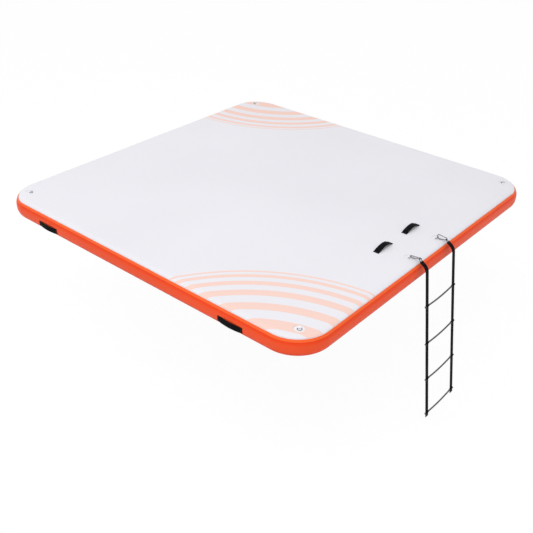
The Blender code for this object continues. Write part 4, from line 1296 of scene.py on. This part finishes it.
def hook_wire_points():
    """The body's wire, from the gate's tongue round both bends to the nose."""
    hook = hook_sizes()
    start, along, _ = gate_line()
    clear = 90 - degrees(hook.slope)
    narrow = arc((hook.span, 0), hook.narrow, clear, -clear, BEND_STEPS)
    wide = arc((0, 0), hook.wide, -clear, clear - 360, WIDE_STEPS)
    nose = start + along * hook.given.nose
    points = [(x, 0, z) for x, z in narrow + wide]
    return points + [tuple(nose)]


def pin_solid(radius, half, dome=0.0):
    """A pin along Y about the origin, its ends domed."""
    turns = [radians(90 * k / EDGE_STEPS) for k in range(EDGE_STEPS + 1)]
    cap = [(radius * cos(a), half + dome * sin(a)) for a in turns]
    profile = [(r, -h) for r, h in cap[::-1]] + cap
    return moved(spun(profile, ROD_SIDES), turned(pi / 2, "X"))


class DOCK_OT_snap_hooks(bpy.types.Operator):
    """Makes each snap hook's bent body and its sprung gate"""

    bl_idname = "dock.snap_hooks"
    bl_label = "Snap hooks"

    def execute(self, context):
        hook = hook_sizes()
        given = hook.given
        _, along, pivot = gate_line()
        local = framed(pivot, along, (0, 0, 1))
        lie = turned(pi / 2, "X")
        half, ear = given.tongue_width / 2, given.gate / 2
        outline = arc((0, 0), half, 90, 270, TONGUE_STEPS)
        outline += [(given.setback, -half), (given.setback, half)]
        depth, wide = half + 2 * SEAT_GAP, ear * 2
        slot = [(-depth, -wide), (wide, -wide), (wide, wide), (-depth, wide)]
        reach = hook.run - given.setback - given.nose - given.tip_gap
        for side in SIDES:
            place = hook_matrix(side)
            tongue = moved(slab(outline, given.tongue, TONGUE_EASE), local @ lie)
            bore = moved(pin_solid(given.pin / 2 + SEAT_GAP, given.tongue), pivot)
            body = combined(wire(hook_wire_points(), hook.wire, sides=ROD_SIDES), "UNION", tongue)
            body = moved(combined(body, "DIFFERENCE", bore), place)
            rod = spun(eased_rod(ear, -reach, ear, given.tip_gap), GATE_SIDES)
            mouth = moved(slab(slot, given.tongue + 2 * SEAT_GAP, 0), lie)
            gate = moved(combined(moved(rod, turned(pi / 2, "Y")), "DIFFERENCE", mouth), local)
            pin = moved(pin_solid(given.pin / 2, ear - SEAT_GAP, SEAT_GAP), pivot)
            gate = moved(combined(gate, "UNION", pin), place)
            for kind, mesh, rides, node in (
                ("bent_wire", body, f"hook_{side}", "body"),
                ("gate_forked", gate, f"hook_{side}_gate_rod", "gate"),
            ):
                stands_for = f"hook_{side}_{node}"
                add_piece(f"hook_{side}_{kind}", mesh, rides, "steel", stands_for, smooth=ROD_WELD)
        return {"FINISHED"}


# Webbing


def webbing(path, width, thickness, bend=None):
    """Flat webbing along a path in the XZ plane, its selvedges rounded, with a map in metres."""
    places = [Vector(p) for p in path]
    round_end = thickness / 2
    flat = width / 2 - round_end
    inner = [k / EDGE_STEPS * 2 * flat - flat for k in range(1, EDGE_STEPS)]
    section = arc((flat, 0), round_end, -90, 90, EDGE_STEPS)
    section += [(v, round_end) for v in inner[::-1]]
    section += arc((-flat, 0), round_end, 90, 270, EDGE_STEPS)
    section += [(v, -round_end) for v in inner]
    shape = bmesh.new()
    layer = shape.loops.layers.uv.new("webbing")
    rings, marks, run_length = [], [], 0.0
    for k, place in enumerate(places):
        before, after = places[max(k - 1, 0)], places[min(k + 1, len(places) - 1)]
        run = (after - before).normalized()
        side = Vector((-run.y, run.x))
        run_length += (place - before).length
        marks.append(run_length)
        ring = []
        for across, off in section:
            at = Vector((place.x + side.x * off, across, place.y + side.y * off))
            ring.append(shape.verts.new(bend(at) if bend else at))
        rings.append(ring)
    for k, (first, second) in enumerate(zip(rings, rings[1:])):
        for j, (across, _) in enumerate(section):
            face = shape.faces.new((first[j], first[j - 1], second[j - 1], second[j]))
            before = section[j - 1][0]
            along = (marks[k], marks[k], marks[k + 1], marks[k + 1])
            for loop, u, v in zip(face.loops, along, (across, before, before, across)):
                loop[layer].uv = (u, v)
    for ring in (rings[0], rings[-1]):
        face = shape.faces.new(ring)
        for loop, (across, off) in zip(face.loops, section):
            loop[layer].uv = (off, across)
    return mesh_from(shape)


def strap_path():
    """The webbing from the hook, out over the edge and down to the ladder's hinge."""
    ladder = sizes("ladder")
    slope = ladder.start_slope
    start = Vector(strap_start())
    heading = Vector((cos(slope), -sin(slope)))
    bend_start = start + heading * ladder.straight
    centre = bend_start + Vector((-sin(slope), -cos(slope))) * ladder.bend
    bend = arc(centre, ladder.bend, 90 - degrees(slope), degrees(ladder.lean), BOW_STEPS)
    last, down = Vector(bend[-1]), ladder_down()
    end = last + Vector((down.x, down.z)) * ladder.drop
    steps = range(LEAD_STEPS)
    lead = [tuple(start + heading * ladder.straight * k / LEAD_STEPS) for k in steps]
    return lead + bend + [tuple(last.lerp(end, (k + 1) / LEAD_STEPS)) for k in steps]


def ladder_down():
    """Unit direction in which the rails hang."""
    lean = sizes("ladder").lean
    return Vector((sin(lean), 0, -cos(lean)))


def ladder_hinge():
    x, z = strap_path()[-1]
    gap = sizes("ladder").hinge_gap
    return Vector((x, 0, z)) + ladder_down() * (gap / 2)


def loop_points(side):
    """A cord loop round the hook's narrow end, both legs running into the webbing."""
    ladder = sizes("ladder")
    hook = hook_sizes()
    seat = pi / 4
    bend = Vector((cos(seat), 0, -sin(seat))) * hook.narrow
    tip = hook_matrix(side) @ (Vector((hook.span, 0, 0)) + bend)
    x, z = strap_start()
    run = Vector((x, side_y(side), z)) - tip
    half = hook.wire / cos(hook.roll[side]) + ladder.side_gap + ladder.cord / 2
    apex = hook.wire + ladder.slack + ladder.cord / 2
    around = arc((min(half - apex, 0), 0), half, 90, 270, BEND_STEPS)
    squeeze = apex / half if half > apex else 1.0
    far = run.length + ladder.buried
    local = [(far, half)] + [(px * squeeze, py) for px, py in around] + [(far, -half)]
    place = framed(tip, run, (0, 0, 1))
    return [place @ Vector((px, py, 0)) for px, py in local]


def box_stitches(start, end, half_width, height, place, bend=None, steps=8):
    """A row round and a cross inside, between two points along a webbing's flat face."""
    margin = sizes("sewing").margin
    low, high = start + margin, end - margin
    reach = half_width - margin
    a, b, c, d = (low, -reach), (high, -reach), (high, reach), (low, reach)
    rows = []
    for (x, y), (end_x, end_y) in ((a, b), (b, c), (c, d), (d, a), (a, c), (b, d)):
        row = []
        for k in range(steps + 1):
            share = k / steps
            point = Vector((x + (end_x - x) * share, y + (end_y - y) * share, height))
            row.append(place @ (bend(point) if bend else point))
        rows.append(row)
    return rows


class DOCK_OT_straps(bpy.types.Operator):
    """Makes the webbing over the platform's edge, its cord loops and their stitching"""

    bl_idname = "dock.straps"
    bl_label = "Over-edge straps"

    def execute(self, context):
        ladder = sizes("ladder")
        rows = []
        path = strap_path()
        start = Vector(path[0])
        heading = (Vector(path[1]) - start).normalized()
        for side in SIDES:
            y = side_y(side)
            mesh = moved(webbing(path, ladder.rail_width, ladder.rail), (0, y, 0))
            add_piece(f"strap_{side}_webbing", mesh, "platform", "webbing", f"strap_{side}")
            cord = wire(loop_points(side), ladder.cord / 2, sides=CORD_SIDES)
            add_piece(f"strap_{side}_loop", cord, "platform", "cord")
            place = framed((start.x, y, start.y), (heading.x, 0, heading.y), (0, 0, 1))
            half_width, height = ladder.rail_width / 2, ladder.rail / 2
            rows += box_stitches(0, ladder.straight, half_width, height, place)
        add_piece("strap_stitching", stitches(rows), "platform", "thread")
        return {"FINISHED"}


def rung_distances():
    ladder = sizes("ladder")
    return [ladder.first_rung + ladder.rung_spacing * k for k in range(4)]


def eye_radius():
    ladder = sizes("ladder")
    return ladder.rung / 2 + SEAT_GAP + ladder.eye_wall


def eye_mesh(width, shift, way, clear):
    """The webbing's turn round a rung, with its neck towards the rail, about the rung's centre."""
    ladder = sizes("ladder")
    radius, half = eye_radius(), ladder.rail / 2
    opening = degrees(asin(half / radius))
    outline = arc((0, 0), radius, opening, 360 - opening, BOW_STEPS)
    reach = clear + radius / 2
    outline += [(reach, -half), (reach, half)]
    eye = moved(slab(outline, width, EYE_EASE), turned(pi / 2, "X"))
    if way < 0:
        moved(eye, turned(pi, "Y"))
    return moved(eye, (0, shift, 0))


def rail_mesh(side, bay):
    """One bay's rail, with a turn round the rung above and another round the rung below."""
    ladder = sizes("ladder")
    rungs = rung_distances()
    last = bay == len(rungs) - 1
    run = rungs[bay] - (rungs[bay - 1] if bay else 0)
    clear = eye_radius() + SEAT_GAP
    start = clear if bay else ladder.hinge_gap / 2
    end = run + ladder.tail if last else run - clear
    path = [(start + (end - start) * k / RAIL_STEPS, 0) for k in range(RAIL_STEPS + 1)]
    inner = 1 if side == "left" else -1
    half_width = (ladder.rail_width - SEAT_GAP) / 2
    shift = (ladder.rail_width - half_width) / 2
    spots = [(run, inner * shift, half_width, -1)]
    if last:
        spots = [(run, 0, ladder.rail_width, -1)]
    if bay:
        spots.append((0, -inner * shift, half_width, 1))
    eyes, bores = [], []
    for along, offset, width, way in spots:
        eyes.append(moved(eye_mesh(width, offset, way, clear), (along, 0, 0)))
        bore = pin_solid(ladder.rung / 2 + SEAT_GAP, width / 2 + SEAT_GAP / 3)
        bores.append(moved(bore, (along, offset, 0)))
    mesh = combined(webbing(path, ladder.rail_width, ladder.rail), "UNION", *eyes)
    return combined(mesh, "DIFFERENCE", *bores), start, end


class DOCK_OT_rails(bpy.types.Operator):
    """Makes the ladder's webbing rails, a piece for each bay and side, and their stitching"""

    bl_idname = "dock.rails"
    bl_label = "Ladder rails"

    def execute(self, context):
        ladder = sizes("ladder")
        rungs = rung_distances()
        down = ladder_down()
        width = ladder.rail_width
        for bay in range(len(rungs)):
            rows = []
            body = f"ladder_bay_{bay + 1}"
            top = ladder_hinge() + down * (rungs[bay - 1] if bay else 0)
            for side in SIDES:
                mesh, start, end = rail_mesh(side, bay)
                place = framed(top + Vector((0, side_y(side), 0)), down, (1, 0, 0))
                name = f"rail_{side}_{bay + 1}"
                add_piece(f"{name}_webbing", moved(mesh, place), body, "webbing", name)
                spots = [(start, start + (width if bay else width / 2))]
                if bay < len(rungs) - 1:
                    spots.append((end - width, end))
                for face in (1, -1):
                    for first, second in spots:
                        height = face * ladder.rail / 2
                        rows += box_stitches(first, second, width / 2, height, place)
            add_piece(f"rail_stitching_{bay + 1}", stitches(rows), body, "thread")
        return {"FINISHED"}


class DOCK_OT_rungs(bpy.types.Operator):
    """Makes the rungs, each sagging a little between its rails, with a collar at each end"""

    bl_idname = "dock.rungs"
    bl_label = "Ladder rungs"

    def execute(self, context):
        ladder = sizes("ladder")
        outer = ladder.spacing / 2 + ladder.rail_width / 2 + SEAT_GAP
        inner = ladder.spacing / 2 - ladder.rail_width / 2 - SEAT_GAP
        down = ladder_down()
        shares = [2 * step / RUNG_STEPS - 1 for step in range(RUNG_STEPS + 1)]
        run = [(inner * share, ladder.sag * (1 - share * share)) for share in shares]
        run = [(-outer - ladder.collar, 0), *run, (outer + ladder.collar, 0)]
        rim = eased_rod(ladder.collar_radius, 0, ladder.collar, ladder.collar / 4)
        for index, distance in enumerate(rung_distances(), 1):
            centre = ladder_hinge() + down * distance + Vector((0, ladder.centre_y, 0))
            points = [centre + Vector((0, y, 0)) + down * drop for y, drop in run]
            collars = []
            for way in (-1, 1):
                collar = moved(spun(rim, BORE_SIDES), turned(-way * pi / 2, "X"))
                collars.append(moved(collar, centre + Vector((0, way * outer, 0))))
            rod = combined(wire(points, ladder.rung / 2, sides=ROD_SIDES), "UNION", *collars)
            add_piece(f"rung_{index}_rod", rod, f"ladder_bay_{index}", "rung", f"rung_{index}")
        return {"FINISHED"}


# Handles


def handle_path(total, rise, lean, fullness):
    """A flat foot at each end and a bowed grip between, as (along, height) points."""
    handles = sizes("handles")
    half = total / 2
    grip = half - handles.foot
    foot = [(-half + handles.foot * k / FOOT_STEPS, 0) for k in range(FOOT_STEPS)]
    path = list(foot)
    for step in range(WIDE_STEPS + 1):
        share = 2 * step / WIDE_STEPS - 1
        along = grip * (share + lean * (1 - share * share))
        path.append((along, rise * abs(cos(share * pi / 2)) ** fullness))
    return path + [(-x, 0) for x, _ in foot[::-1]]


def wall_recess(height):
    """How far the wall draws in below or above its straight part, clear of the seam tape."""
    outline = platform()
    given = outline.given
    middle = given.thickness / 2
    beyond = abs(height - middle) - (outline.centre_z - middle)
    if beyond <= 0:
        return 0.0
    drawn = given.edge_radius - sqrt(given.edge_radius**2 - beyond**2)
    return max(drawn - given.tape - 2 * SEAT_GAP, 0.0)


def hugging(place, total):
    """A bend that lays a side handle's feet against the rounded wall."""
    ease = sizes("handles").foot
    grip = total / 2 - ease

    def bend(at):
        share = min(max((abs(at.x) - grip + ease) / ease, 0), 1)
        share = share * share * (3 - 2 * share)
        return Vector((at.x, at.y, at.z - wall_recess((place @ at).z) * share))

    return bend


class DOCK_OT_handles(bpy.types.Operator):
    """Makes the deck handles and the side handles, with the stitching on their feet"""

    bl_idname = "dock.handles"
    bl_label = "Carry handles"

    def execute(self, context):
        handles = sizes("handles")
        outline = platform()
        lift = handles.thickness / 2 + SEAT_GAP
        total = handles.top_length
        path = handle_path(total, handles.top_rise, handles.top_lean, handles.top_fullness)
        rows = []
        for side in SIDES:
            y = side_y(side) - sizes("ladder").centre_y + handles.top_centre
            origin = (outline.half - handles.top_inset, y, outline.pad_top + lift)
            place = framed(origin, (0, 1, 0), (0, 0, 1))
            rows += self.make_handle(f"deck_handle_{side}", path, total, place, None)
        total = handles.side_length
        path = handle_path(total, handles.side_rise, 0, handles.fullness)
        side_x = outline.half - handles.side_inset
        side_z = outline.given.thickness / 2 - handles.side_drop
        for way, wall in ((-1, "front"), (1, "back")):
            for end, label in ((1, "a"), (-1, "b")):
                origin = (end * side_x, way * (outline.half + lift), side_z)
                place = framed(origin, (1, 0, 0), (0, way, 0))
                name = f"side_handle_{wall}_{label}"
                rows += self.make_handle(name, path, total, place, hugging(place, total))
        add_piece("handle_stitching", stitches(rows), "platform", "thread")
        return {"FINISHED"}

    def make_handle(self, name, path, total, place, bend):
        """One handle. Gives back the rows of stitches on its feet."""
        handles = sizes("handles")
        mesh = moved(webbing(path, handles.width, handles.thickness, bend), place)
        add_piece(f"{name}_webbing", mesh, "platform", "webbing", name)
        half, rise, foot = handles.width / 2, handles.thickness / 2, handles.foot
        rows = []
        for start in (-total / 2, total / 2 - foot):
            rows += box_stitches(start, start + foot, half, rise, place, bend)
        return rows


# Inflation valve


def valve_matrix():
    """The valve's frame: Z points out of the wall, with its origin on the boot's flat face."""
    outline = platform()
    proud = sizes("valve").boot_proud
    centre = Vector((-outline.half - proud, 0, outline.given.thickness / 2))
    return framed(centre, (0, 1, 0), (-1, 0, 0))


class DOCK_OT_valve(bpy.types.Operator):
    """Makes the valve's boot, its ribbed cap and its spring, and finishes the pieces inside"""

    bl_idname = "dock.valve"
    bl_label = "Inflation valve"

    def execute(self, context):
        valve = sizes("valve")
        place = valve_matrix()
        hole = valve.barrel + SEAT_GAP
        rim = valve.barrel + valve.flange_lip + valve.boot_margin
        ease = valve.boot_proud / 3
        low = SEAT_GAP - valve.boot_proud
        edge = arc((rim - ease, -ease), ease, 0, 90, RIM_STEPS)
        profile = [(hole, low), (rim, low)] + edge + [(hole, 0)]
        boot = moved(spun(profile, SPIN_STEPS), place)
        add_piece("welded_valve_boot", boot, "platform", "band", "valve_boot")
        cap = moved(self.cap_mesh(valve, hole), place)
        add_piece("ribbed_valve_cap", cap, "valve_lid", "valve", "valve_cap")
        refinish("valve_body", "valve")
        for node in ("valve_nut", "valve_stem", "cap_gasket"):
            refinish(node, "rubber")
        self.make_spring(valve)
        return {"FINISHED"}

    def cap_mesh(self, valve, bore):
        """The cap's cup, with a bar across its top and ribs round its skirt."""
        inside = valve.collar + valve.gasket + 2 * SEAT_GAP
        top = inside + valve.cap_wall
        outer = bore + valve.cap_wall
        skirt = inside - valve.cap_skirt
        ease = valve.cap_wall / 2
        cup = [(0, inside), (bore, inside), (bore, skirt), (outer, skirt)]
        cup += arc((outer - ease, top - ease), ease, 0, 90, RIM_STEPS)
        dip = top - ease / 2
        cup += [(outer * DISH_START, top), (outer * DISH_END, dip), (0, dip)]
        long, half = valve.barrel, valve.grip_width / 2
        corners = [(-long, -half), (long, -half), (long, half), (-long, half)]
        bar = slab(rounded(corners, half), valve.grip_height, ease / 2)
        bar = moved(bar, (0, 0, top + valve.grip_height / 2 - ease))
        size = (valve.rib / 2, valve.rib, valve.cap_skirt * RIB_REACH)
        ribs = grown([[(0, 0, 0), (0, 0, 1)]], "ribs", ribs=valve.ribs, radius=outer, size=size)
        ribs = moved(ribs, (0, 0, (skirt + inside) / 2))
        return combined(combined(spun(cup, SPIN_STEPS), "UNION", bar), "UNION", ribs)

    def make_spring(self, valve):
        """The coil behind the stem's button."""
        low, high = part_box("valve_spring")
        middle = (low + high) / 2
        half_wire = valve.spring_wire / 2
        reach = (high.y - low.y) / 2 - half_wire
        span = high.x - low.x - valve.spring_wire
        steps = valve.spring_turns * SPRING_STEPS
        path = []
        for step in range(steps + 1):
            turn = tau * step / SPRING_STEPS
            x = high.x - half_wire - span * step / steps
            path.append((x, middle.y + reach * cos(turn), middle.z + reach * sin(turn)))
        piece = add_piece(
            "coiled_valve_spring",
            wire(path, half_wire, sides=SPRING_SIDES),
            "valve_plunger",
            "steel",
            "valve_spring",
            smooth=WIRE_WELD,
        )
        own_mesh(piece)


# Stage


class DOCK_OT_stage(bpy.types.Operator):
    """Makes the camera, the white floor, the even sky and the soft lamps"""

    bl_idname = "dock.stage"
    bl_label = "Stage"

    def execute(self, context):
        stage = sizes("stage")
        scene = context.scene
        scene.view_settings.view_transform = "Standard"
        lens = bpy.data.cameras.new("camera")
        lens.lens = stage.focal
        lens.sensor_width = SENSOR_WIDTH
        lens.clip_end = VIEW_DEPTH
        camera = placed("camera", lens)
        turn = turned(stage.heading, "Z") @ turned(pi / 2 - stage.pitch, "X")
        turn = turn @ turned(stage.roll, "Z")
        place = Matrix.Translation((stage.camera_x, stage.camera_y, stage.camera_z))
        camera.matrix_world = place @ turn
        scene.camera = camera
        self.make_floor(stage)
        self.make_sky(scene, stage)
        self.make_lamp("key", stage.key, KEY_PLACE, KEY_SIZE)
        self.make_lamp("fill", stage.fill, FILL_PLACE, FILL_SIZE)
        return {"FINISHED"}

    def make_floor(self, stage):
        """A white floor that keeps a soft shadow, and shows white to the camera elsewhere."""
        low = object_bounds()[0].z - stage.floor_drop
        outline = arc((0, 0), FLOOR_RADIUS, 0, 360 - 360 / FLOOR_SIDES, FLOOR_SIDES - 1)
        shape = bmesh.new()
        shape.faces.new([shape.verts.new((x, y, low)) for x, y in outline])
        floor = placed("studio_floor", mesh_from(shape, outward=False))
        made = Finish(FLOOR_COLOUR, FLOOR_ROUGHNESS)
        made.material.name = "white_floor"
        share = made.math("MULTIPLY", made.seen(), FLOOR_GLOW_SHARE)
        glow = made.node("Emission", Strength=FLOOR_GLOW).outputs["Emission"]
        made.end("Material Output", share, made.shader.outputs["BSDF"], glow)
        floor.data.materials.append(made.material)
        floor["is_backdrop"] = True

    def make_sky(self, scene, stage):
        """Even light from all round, which the camera sees as plain white."""
        scene.world = bpy.data.worlds.new("even_sky")
        scene.world.use_nodes = True
        made = Nodes(scene.world.node_tree)
        light = made.fill(made.nodes["Background"], Color=(1, 1, 1), Strength=stage.sky)
        white = made.node("Background", Color=(1, 1, 1))
        shown = (light.outputs["Background"], white.outputs["Background"])
        made.end("World Output", made.seen(), *shown)

    def make_lamp(self, name, power, place, size):
        lamp = bpy.data.lights.new(name, "AREA")
        lamp.energy = power
        lamp.size = size
        thing = placed(name, lamp)
        thing.location = place
        thing.rotation_mode = "QUATERNION"
        thing.rotation_quaternion = (-Vector(place)).to_track_quat("-Z", "Y")


OPERATORS = (
    DOCK_OT_stage,
    DOCK_OT_skins,
    DOCK_OT_side_band,
    DOCK_OT_deck_pad,
    DOCK_OT_lifting_rings,
    DOCK_OT_snap_hooks,
    DOCK_OT_straps,
    DOCK_OT_rails,
    DOCK_OT_rungs,
    DOCK_OT_handles,
    DOCK_OT_valve,
)


class DOCK_PT_panel(bpy.types.Panel):
    """Lists the dock's sizes and the operators that make its pieces"""

    bl_idname = "DOCK_PT_panel"
    bl_label = "Inflatable dock"
    bl_space_type = "VIEW_3D"
    bl_region_type = "UI"
    bl_category = "Dock"

    def draw(self, context):
        for operator in OPERATORS:
            self.layout.operator(operator.bl_idname)
        for group in GROUPS:
            box = self.layout.box()
            holder = getattr(context.scene, group)
            for name in holder.bl_rna.properties.keys():
                if name not in ("rna_type", "name"):
                    box.prop(holder, name)


def register():
    for made in (*GROUPS.values(), *OPERATORS, DOCK_PT_panel):
        bpy.utils.register_class(made)
    for name, group in GROUPS.items():
        setattr(bpy.types.Scene, name, PointerProperty(type=group))


def unregister():
    for name in GROUPS:
        delattr(bpy.types.Scene, name)
    for made in (*GROUPS.values(), *OPERATORS, DOCK_PT_panel):
        bpy.utils.unregister_class(made)


def main():
    """Makes every piece in order."""
    register()
    for operator in OPERATORS:
        group, name = operator.bl_idname.split(".")
        getattr(getattr(bpy.ops, group), name)()


if __name__ == "__main__":
    main()
